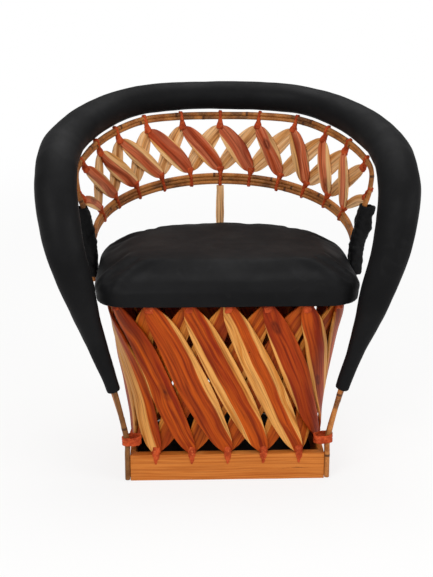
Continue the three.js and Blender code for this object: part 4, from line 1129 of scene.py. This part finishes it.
# Rows of the sleeves on the hoops run from beyond the canes to the slats' tips
kinds = {
    "board": base_thong("board_thong", 10.0),
    "hoop": base_thong("hoop_thong", 6.0),
    "ring": sleeve("ring_thong", (
        (3.0, 7.0, 7.4, 0), (0.5, 9.0, 8.4, 0), (-4.0, 9.8, 8.6, 0), (-9.0, 9.8, 8.2, 0),
        (-13.0, 9.2, 8.0, 0), (-15.0, 7.6, 6.6, 0))),
    "upper": sleeve("upper_thong", (
        (-12.2, 2.6, 3.6, 0), (-11.2, 4.4, 6.2, 0), (-6.0, 4.9, 7.3, 0), (0.0, 4.6, 7.4, 0),
        (6.0, 4.6, 7.1, 0), (11.0, 4.7, 6.0, 0), (16.0, 6.6, 6.2, 0), (23.0, 9.2, 7.2, 0),
        (28.5, 9.4, 7.5, 0), (31.0, 8.0, 6.2, 0))),
    "lower": sleeve("lower_thong", (
        (-16.4, 2.6, 3.6, 0), (-15.2, 4.4, 6.2, 0), (-9.0, 4.9, 7.3, 0), (0.0, 4.8, 7.4, 0),
        (9.0, 4.7, 7.1, 0), (14.0, 4.8, 6.0, 0), (18.0, 6.6, 6.3, 0), (24.0, 9.2, 7.4, 0),
        (28.0, 9.2, 7.5, 0), (30.0, 7.8, 6.2, 0))),
}


def tie(kind, name, place, across, towards, seed, node):
    """A copy of one kind of thong. Its width runs across and its height towards the given way."""
    across, towards = Vector(across), Vector(towards).normalized()
    across = (across - towards * across.dot(towards)).normalized()
    inward = towards.cross(across)
    turn = Matrix((across, inward, towards)).transposed().to_4x4()
    obj = new_object(name, kinds[kind].data.copy())
    obj.data.transform(Matrix.Translation(place) @ turn)
    obj.data.update()
    ripple(obj, 0.006, 0.0016, seed)
    smooth(obj, 60)
    return dress(obj, rawhide, "rawhide", node)


print("thongs:", {kind: len(obj.data.polygons) for kind, obj in kinds.items()}, "faces")

# %% [markdown]
# Where the thongs go follows from the slats: a tie on the base lies between the feet of an outer
# and an inner slat, and one under the seat between their heads.

# %% Thongs on the base and under the seat
CORNER_TIES = (1, 7)  # numbers of the slats that start at the front corners
BOARD_TIES = range(2, 7)
TIES_CROSSED = 2


def tips(layer, number, end):
    """The middle of a barrel slat's foot, where end is 0, or of its head, where it is -1."""
    return Vector(barrel_lines[layer, (number - 1) % SLAT_COUNT + 1][end].mean(axis=0))


def tie_tips(kind, number, outer, inner, height, seed, node):
    """A thong over the tips of two slats, at a height or else halfway between them."""
    outward = ((outer - inner) * Vector((1, 1, 0))).normalized()
    place = (outer + inner) / 2
    place.z = height or place.z
    across = (-outward.y, outward.x, 0)
    tie(kind, f"{kind}_thong_{number:02d}", place, across, (0, 0, 1), seed, node)


for number in range(1, SLAT_COUNT + 1):
    if number not in CORNER_TIES:
        on_board = number in BOARD_TIES
        kind, node = ("board", "base_front_board") if on_board else ("hoop", "base_hoop")
        tie_tips(kind, number, tips("outer", number, 0), tips("inner", number, 0), BOARD_HEIGHT,
                 number, node)
    tie_tips("ring", number, tips("outer", number + TIES_CROSSED, -1),
             tips("inner", number - TIES_CROSSED, -1), None, 30 + number, "seat_ring")
print("thongs on the base:", SLAT_COUNT - 2, "and under the seat:", SLAT_COUNT)

# %% [markdown]
# At the front corners the thong goes round the two canes of the arch's foot as well, in level
# turns.

# %% Corner windings
WINDING_HEIGHT = 0.007
WINDING_MIDDLE = 0.2005  # to the side of the chair's axis, and in front of it
WINDING_HALF_WIDTH = 0.0175
WINDING_HALF_DEPTH = 0.0125
WINDING_TILT_REACH = 0.018
winding_places = ((0.0855, 3.0), (0.0915, -4.0), (0.0965, 5.0))  # height, and tilt in degrees
for side, label in ((-1, "left"), (1, "right")):
    for turn_number, (height, tilt) in enumerate(winding_places, 1):
        obj = primitive(f"corner_winding_{label}_{turn_number}",
                        bpy.ops.mesh.primitive_cylinder_add, vertices=40, radius=1,
                        depth=WINDING_HEIGHT, end_fill_type="NOTHING", location=(0, 0, 0))
        edit(obj, (bpy.ops.mesh.subdivide, {"number_cuts": 1}))
        places = []
        for x, y, z in points_of(obj):
            x, y = math.copysign(abs(x) ** 0.75, x), math.copysign(abs(y) ** 0.75, y)
            rise = z + x * WINDING_TILT_REACH * math.tan(math.radians(tilt))
            places.append((side * WINDING_MIDDLE + x * WINDING_HALF_WIDTH,
                           -WINDING_MIDDLE + axis_depth + y * WINDING_HALF_DEPTH, height + rise))
        move_points(obj, places)
        apply_modifier(obj, "SOLIDIFY", thickness=0.0024, offset=1)
        bevel(obj, 0.0008)
        ripple(obj, 0.007, 0.0014, turn_number + side)
        smooth(obj, 60)
        dress(obj, rawhide, "rawhide", "arm_arch_canes")
print("corner windings:", 2 * len(winding_places))

# %% [markdown]
# The thongs of the back go round a hoop at its numbered ties, which are spaced along it from the
# middle of the back and crowd a little towards its ends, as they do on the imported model.

# %% Thongs on the hoops
UPPER_TIES = 6
LOWER_TIES = 5
UPPER_TIE_SPACING = 0.091
LOWER_TIE_SPACING = 0.0685
CROWDING_SHARE = 0.08


def hoop_tie(route, number, spacing):
    crowding = 1 - CROWDING_SHARE * (number / UPPER_TIES) ** 2
    # a route's numbering runs from the left to the right
    share = route.share_at(min(max(0.5 + number * spacing * crowding / route.length, 0), 1))
    point, tangent, _, _ = frame_at(route, share, *HOOP_TURN)
    return point + AXIS, tangent


def slat_tips_at(upper, number):
    """Tips of the front and rear slats that meet at a tie of the upper or the lower hoop."""
    found = []
    for lower_tie, sign, name in ((number + upper, 1, "front"), (number - upper, -1, "rear")):
        if abs(lower_tie) <= LOWER_TIES:
            lines = back_lines[name, UPPER_TIES + sign * lower_tie]
            found.append(Vector(lines[-1 if upper else 0].mean(axis=0)))
    return found


for label, route, count, spacing, node in (
        ("upper", upper_hoop, UPPER_TIES, UPPER_TIE_SPACING, "back_upper_hoop"),
        ("lower", lower_hoop, LOWER_TIES, LOWER_TIE_SPACING, "back_lower_hoop")):
    for number in range(-count, count + 1):
        place, along = hoop_tie(route, number, spacing)
        found = slat_tips_at(label == "upper", number)
        towards = sum(found, Vector()) / len(found) - place
        tie(label, f"{label}_thong_{number + count + 1:02d}", place, along, towards,
            number + 50, node)
print("thongs on the hoops:", 2 * UPPER_TIES + 1 + 2 * LOWER_TIES + 1)
for kind in kinds.values():
    bpy.data.objects.remove(kind)

# %% [markdown]
# ## Seat
#
# Under the seat a bent ring follows its D shape, and a rawhide is stretched over it. The pad on top
# is leather over stuffing: it has an upright band all round, a soft upper edge and a low crown. The
# packed pad is copied and remeshed evenly, its upper part is lowered a little, and Blender's cloth
# simulation blows it up again while its lower band is held. So the leather swells as stuffing
# makes it swell, highest in the middle.

# %% Ring and hide
RING_RADIUS = 0.011
RING_CORNER_RADIUS = 0.075
RING_INSET = 0.0203  # the ring's middle from the lower edge of the seat
RING_HEIGHT = SEAT_UNDERSIDE + FIT_GAP + RING_RADIUS
RING_HALF_WIDTH = SEAT_HALF_WIDTH - RING_INSET
RING_FORWARD = SEAT_FORWARD - RING_INSET
RING_BACK = SEAT_BACK - RING_INSET
SEAT_ROUND_BACK = 0.048


def ring_line():
    corner = RING_HALF_WIDTH - RING_CORNER_RADIUS
    right = [(corner + RING_CORNER_RADIUS * math.sin(t),
              -RING_FORWARD + RING_CORNER_RADIUS * (1 - math.cos(t)))
             for t in np.linspace(0, math.pi / 2, 9)]
    right += [(RING_HALF_WIDTH, y) for y in np.linspace(right[-1][1], SEAT_ROUND_BACK, 8)[1:-1]]
    rise = RING_BACK - SEAT_ROUND_BACK
    right += [(RING_HALF_WIDTH * math.cos(t), SEAT_ROUND_BACK + rise * math.sin(t))
              for t in np.linspace(0, math.pi / 2, 21)]
    return right + [(-x, y) for x, y in right[-2::-1]]


def add_ring():
    places = [(x, y + axis_depth, RING_HEIGHT) for x, y in ring_line()]
    obj = tube("seat_ring_wood", places, RING_RADIUS, 4, closed=True)
    write_attribute(obj, "grain", [(z, math.atan2(y, x) * 0.24, 8.0) for x, y, z in points_of(obj)])
    smooth(obj, 60)
    return dress(obj, pine, "pine", "seat_ring")


ring = add_ring()
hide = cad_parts["seat_hide"]
hide.data.materials.clear()
hide.data.materials.append(rawhide.material)
print("ring:", len(ring.data.polygons), "faces; hide kept as packed")

# %% Leather pad of the seat
PAD_VOXEL = 0.006
PAD_SOFT_FROM = 0.408  # the band below this height is held
PAD_SOFT_TO = 0.428
PAD_CROWN_DROP = 0.008
PAD_SWELL = 0.010


def inflate(obj, pressure, most, held):
    """Swells a closed or pinned skin by cloth simulation, and caps how far any point moves."""
    before = points_of(obj)
    select_only(obj)
    cloth = obj.modifiers.new("stuffing", "CLOTH")
    settings = cloth.settings
    settings.quality = 5
    settings.mass = 0.3
    settings.tension_stiffness = 12
    settings.compression_stiffness = 12
    settings.bending_stiffness = 2.0
    settings.use_pressure = True
    settings.uniform_pressure_force = pressure
    settings.effector_weights.gravity = 0
    settings.vertex_group_mass = held
    for number in range(1, 21):
        bpy.context.scene.frame_set(number)
    bpy.ops.object.modifier_apply(modifier="stuffing")
    bpy.context.scene.frame_set(1)
    moved = points_of(obj) - before
    far = np.linalg.norm(moved, axis=1, keepdims=True)
    moved *= np.minimum(1, most / np.maximum(far, 1e-9))
    move_points(obj, before + moved)
    return float(np.minimum(far, most).max())


def add_pad():
    obj = copy_of_node("seat_cushion", "seat_pad")
    apply_modifier(obj, "REMESH", mode="VOXEL", voxel_size=PAD_VOXEL)
    points = points_of(obj)
    soft = np.clip((points[:, 2] - PAD_SOFT_FROM) / (PAD_SOFT_TO - PAD_SOFT_FROM), 0, 1)
    low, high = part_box("seat_cushion")
    middle = (low + high) / 2
    away = np.hypot((points[:, 0] - middle.x) / (high.x - middle.x),
                    (points[:, 1] - middle.y) / (high.y - middle.y))
    crown = np.clip(1 - away ** 2, 0, 1)
    for name, weights in (("soft", soft), ("held", 1 - soft)):
        group = obj.vertex_groups.new(name=name)
        for i, weight in enumerate(weights):
            group.add([i], float(weight), "REPLACE")
    apply_modifier(obj, "SMOOTH", factor=0.5, iterations=14, vertex_group="soft")
    points = points_of(obj)
    points[:, 2] -= PAD_CROWN_DROP * crown * soft
    move_points(obj, points)
    print("pad swells by", round(inflate(obj, 4.0, PAD_SWELL, "held") * 1000, 1), "mm")
    apply_modifier(obj, "SMOOTH", factor=0.5, iterations=10, vertex_group="soft")
    obj.vertex_groups.clear()
    apply_modifier(obj, "SUBSURF", levels=1, render_levels=1)
    ripple(obj, 0.09, 0.0012, 3)
    cut_below(obj, low.z + FIT_GAP)  # its lower edge stays level
    smooth(obj, 80)
    return dress(obj, leather, "leather", "seat_cushion")


pad = add_pad()
print("pad:", len(pad.data.polygons), "faces, top at", round(points_of(pad)[:, 2].max(), 4), "m")

# %% [markdown]
# ## The padded roll
#
# Leather stuffed with fibre makes one long roll round the arch's canes. It is thickest at the
# shoulders and shrinks to little more than the canes' own width at its ends, low in front. Its
# skin is lofted from ellipses along the arch, slightly too thin, and the same cloth simulation
# swells it while both ends are held. It is then bulged inwards along the arms and towards the
# upper hoop, as the photograph shows no light there, and gets the bore that the canes lie in, so
# it is a real sleeve.

# %% Roll of the arms and the back
ROLL_SIDES = 40
ROLL_STEP = 0.0065
ROLL_SHRINK_SHARE = 0.93
ROLL_SWELL = 0.006
PRESS = 0.0035  # how far the leather bulges towards the hoop, and at what distances from it
PRESS_REACH = (0.018, 0.042)
INNER_SWELL = 0.007  # the roll is fuller on the inner side of the arms
SWELL_FROM, SWELL_TO = 0.37, 0.43  # heights between which that starts
SWELL_SIDE, SWELL_SIDE_REACH = 0.2, 0.08  # how far to the side it starts, and over what distance
BORE_OUT = 0.0077
BORE_THIRD = 0.0126


def ellipse_ring(share, half_out, half_third):
    point, _, out, third = frame_at(arch, share, *ARCH_TURN)
    turns = [i * 2 * math.pi / ROLL_SIDES for i in range(ROLL_SIDES)]
    return [point + out * half_out * math.cos(t) + third * half_third * math.sin(t) + AXIS
            for t in turns]


def tube_faces(rings, first=0):
    faces = []
    for i in range(rings - 1):
        for j in range(ROLL_SIDES):
            k = (j + 1) % ROLL_SIDES
            here, there = first + i * ROLL_SIDES, first + (i + 1) * ROLL_SIDES
            faces.append((here + j, here + k, there + k, there + j))
    return faces


def fuller_inside(points):
    """Bulges the inner side of the arms towards the hoop's ends."""
    rings = np.array(points).reshape(-1, ROLL_SIDES, 3)
    spokes = rings - rings.mean(axis=1, keepdims=True)
    spokes /= np.linalg.norm(spokes, axis=2, keepdims=True)
    inward = np.clip(-spokes[:, :, 0] * np.sign(rings[:, :, 0]), 0, 1)
    height = np.clip((rings[:, :, 2] - SWELL_FROM) / (SWELL_TO - SWELL_FROM), 0, 1)
    width = np.clip((np.abs(rings[:, :, 0]) - SWELL_SIDE) / SWELL_SIDE_REACH, 0, 1)
    push = INNER_SWELL * inward ** 2 * height * width
    rings[:, :, 0] -= np.sign(rings[:, :, 0]) * push
    return rings.reshape(-1, 3)


HOOP_SAMPLES = 400
hoop_tree = KDTree(HOOP_SAMPLES)
for i in range(HOOP_SAMPLES):
    hoop_tree.insert(upper_hoop.at(i / (HOOP_SAMPLES - 1)) + AXIS, i)
hoop_tree.balance()


def press_on_hoop(point):
    """Bulges the roll towards the upper hoop, about as far as its thongs."""
    nearest, _, gap = hoop_tree.find(point)
    share = min(max((PRESS_REACH[1] - gap) / (PRESS_REACH[1] - PRESS_REACH[0]), 0), 1)
    return point + (nearest - point).normalized() * PRESS * share * share * (3 - 2 * share)


def add_roll():
    knots = 2 * (len(feet) + len(arch_points) - 1)
    start = len(feet) / knots
    first = float(np.interp(start, arch.SHARES, arch.way)) / arch.length
    count = int(arch.length * (1 - 2 * first) / ROLL_STEP)
    shares = [arch.share_at(first + (1 - 2 * first) * i / count) for i in range(count + 1)]
    shrink = ROLL_SHRINK_SHARE
    points = []
    for share in shares:
        half = roll_half(share) * shrink
        points += ellipse_ring(share, half, half * ROLL_FLATNESS_SHARE)
    obj = mesh_object("padded_roll", points, tube_faces(len(shares)))
    group = obj.vertex_groups.new(name="held")
    last = len(points) - ROLL_SIDES
    group.add([*range(ROLL_SIDES), *range(last, len(points))], 1.0, "REPLACE")
    print("roll swells by", round(inflate(obj, 4.0, ROLL_SWELL, "held") * 1000, 1), "mm")
    obj.vertex_groups.clear()
    outside = [press_on_hoop(Vector(point)) for point in fuller_inside(points_of(obj))]
    bpy.data.objects.remove(obj)
    bore = []
    for share in shares[::8] + ([] if count % 8 == 0 else [shares[-1]]):
        bore += ellipse_ring(share, BORE_OUT, BORE_THIRD)
    bore_rings = len(bore) // ROLL_SIDES
    skin = len(outside)
    inner = [face[::-1] for face in tube_faces(bore_rings, skin)]
    ends = []
    for j in range(ROLL_SIDES):
        k = (j + 1) % ROLL_SIDES
        ends.append((j, skin + j, skin + k, k))
        far_skin, far_bore = skin - ROLL_SIDES, skin + len(bore) - ROLL_SIDES
        ends.append((far_skin + j, far_skin + k, far_bore + k, far_bore + j))
    obj = mesh_object("padded_roll", outside + bore, tube_faces(len(shares)) + inner + ends)
    edit(obj, FACE_OUTWARDS)
    apply_modifier(obj, "SUBSURF", levels=1, render_levels=1)
    ripple(obj, 0.11, 0.0022, 5)
    ripple(obj, 0.03, 0.0006, 6)
    smooth(obj, 80)
    return dress(obj, leather, "leather", "arm_back_roll")


roll = add_roll()
print("roll:", len(roll.data.polygons), "faces, top at", round(points_of(roll)[:, 2].max(), 4), "m")

# %% [markdown]
# ## Wraps and prop
#
# Beside the seat, black leather binds the ends of both hoops and goes on up the upper one. It is
# thin and bunched up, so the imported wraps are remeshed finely, pushed out on their outer side
# into a loose fold, and crumpled by noise at two sizes. The prop is a flat stick behind the seat
# that carries the lower hoop.

# %% Wraps, prop
# Heights, with how far to the side the hoops' ends are there, and how far out the fold stands
WRAP_LINE = ((0.388, 0.448, 0.49, 0.518, 0.54), (0.284, 0.2845, 0.2895, 0.295, 0.301))
WRAP_FOLD = ((0.388, 0.44, 0.49, 0.546), (0.008, 0.011, 0.017, 0.014))
FOLD_REACH = 0.007  # it grows to that within this distance outwards
WRAP_VOXEL = 0.0018


def add_wrap(side):
    """Leather bunched round a hoop's end, with a loose fold on its outer side."""
    obj = copy_of_node(f"end_wrap_{side}", f"leather_wrap_{side}")
    apply_modifier(obj, "REMESH", mode="VOXEL", voxel_size=WRAP_VOXEL)
    points = points_of(obj)
    width, height = np.abs(points[:, 0]), points[:, 2]
    share = np.clip((width - np.interp(height, *WRAP_LINE)) / FOLD_REACH, 0, 1)
    points[:, 0] += np.sign(points[:, 0]) * share * np.interp(height, *WRAP_FOLD)
    move_points(obj, points)
    apply_modifier(obj, "REMESH", mode="VOXEL", voxel_size=WRAP_VOXEL)
    apply_modifier(obj, "SMOOTH", factor=0.5, iterations=4)
    apply_modifier(obj, "DISPLACE", strength=0.001, mid_level=0)
    ripple(obj, 0.024, 0.0032, 7)
    ripple(obj, 0.009, 0.0016, 8)
    smooth(obj, 80)
    return dress(obj, bunched_leather, "leather", f"end_wrap_{side}")


def add_prop():
    obj = copy_of_node("back_prop", "prop_stick")
    any_angle = {"face_threshold": math.pi, "shape_threshold": math.pi}
    edit(obj, (bpy.ops.mesh.tris_convert_to_quads, any_angle),
         (bpy.ops.mesh.subdivide, {"number_cuts": 7}))
    bevel(obj, 0.0012)
    ripple(obj, 0.03, 0.0012, 9)
    grain = [(x, z, 9.0) for x, _, z in points_of(obj)]
    write_wood(obj, grain, (0.02, 0.002, 0.0), (0.0, 0.5, NO_KNOT))
    smooth(obj, 50)
    return dress(obj, rear_cedar, "sapwood", "back_prop")


for piece in (add_wrap("left"), add_wrap("right"), add_prop()):
    print(piece.name, len(piece.data.polygons), "faces")

# %% [markdown]
# ## Size
#
# The imported model's box and the visual model's box are both printed. The visual model has to
# stay within the imported model's size but for a little padding.

# %% Write the sizes and finish
scene_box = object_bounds()
for label, corners in (("CAD", cad_box), ("visual", scene_box)):
    print(label, [[round(x * 1000, 1) for x in corner] for corner in corners], "mm")
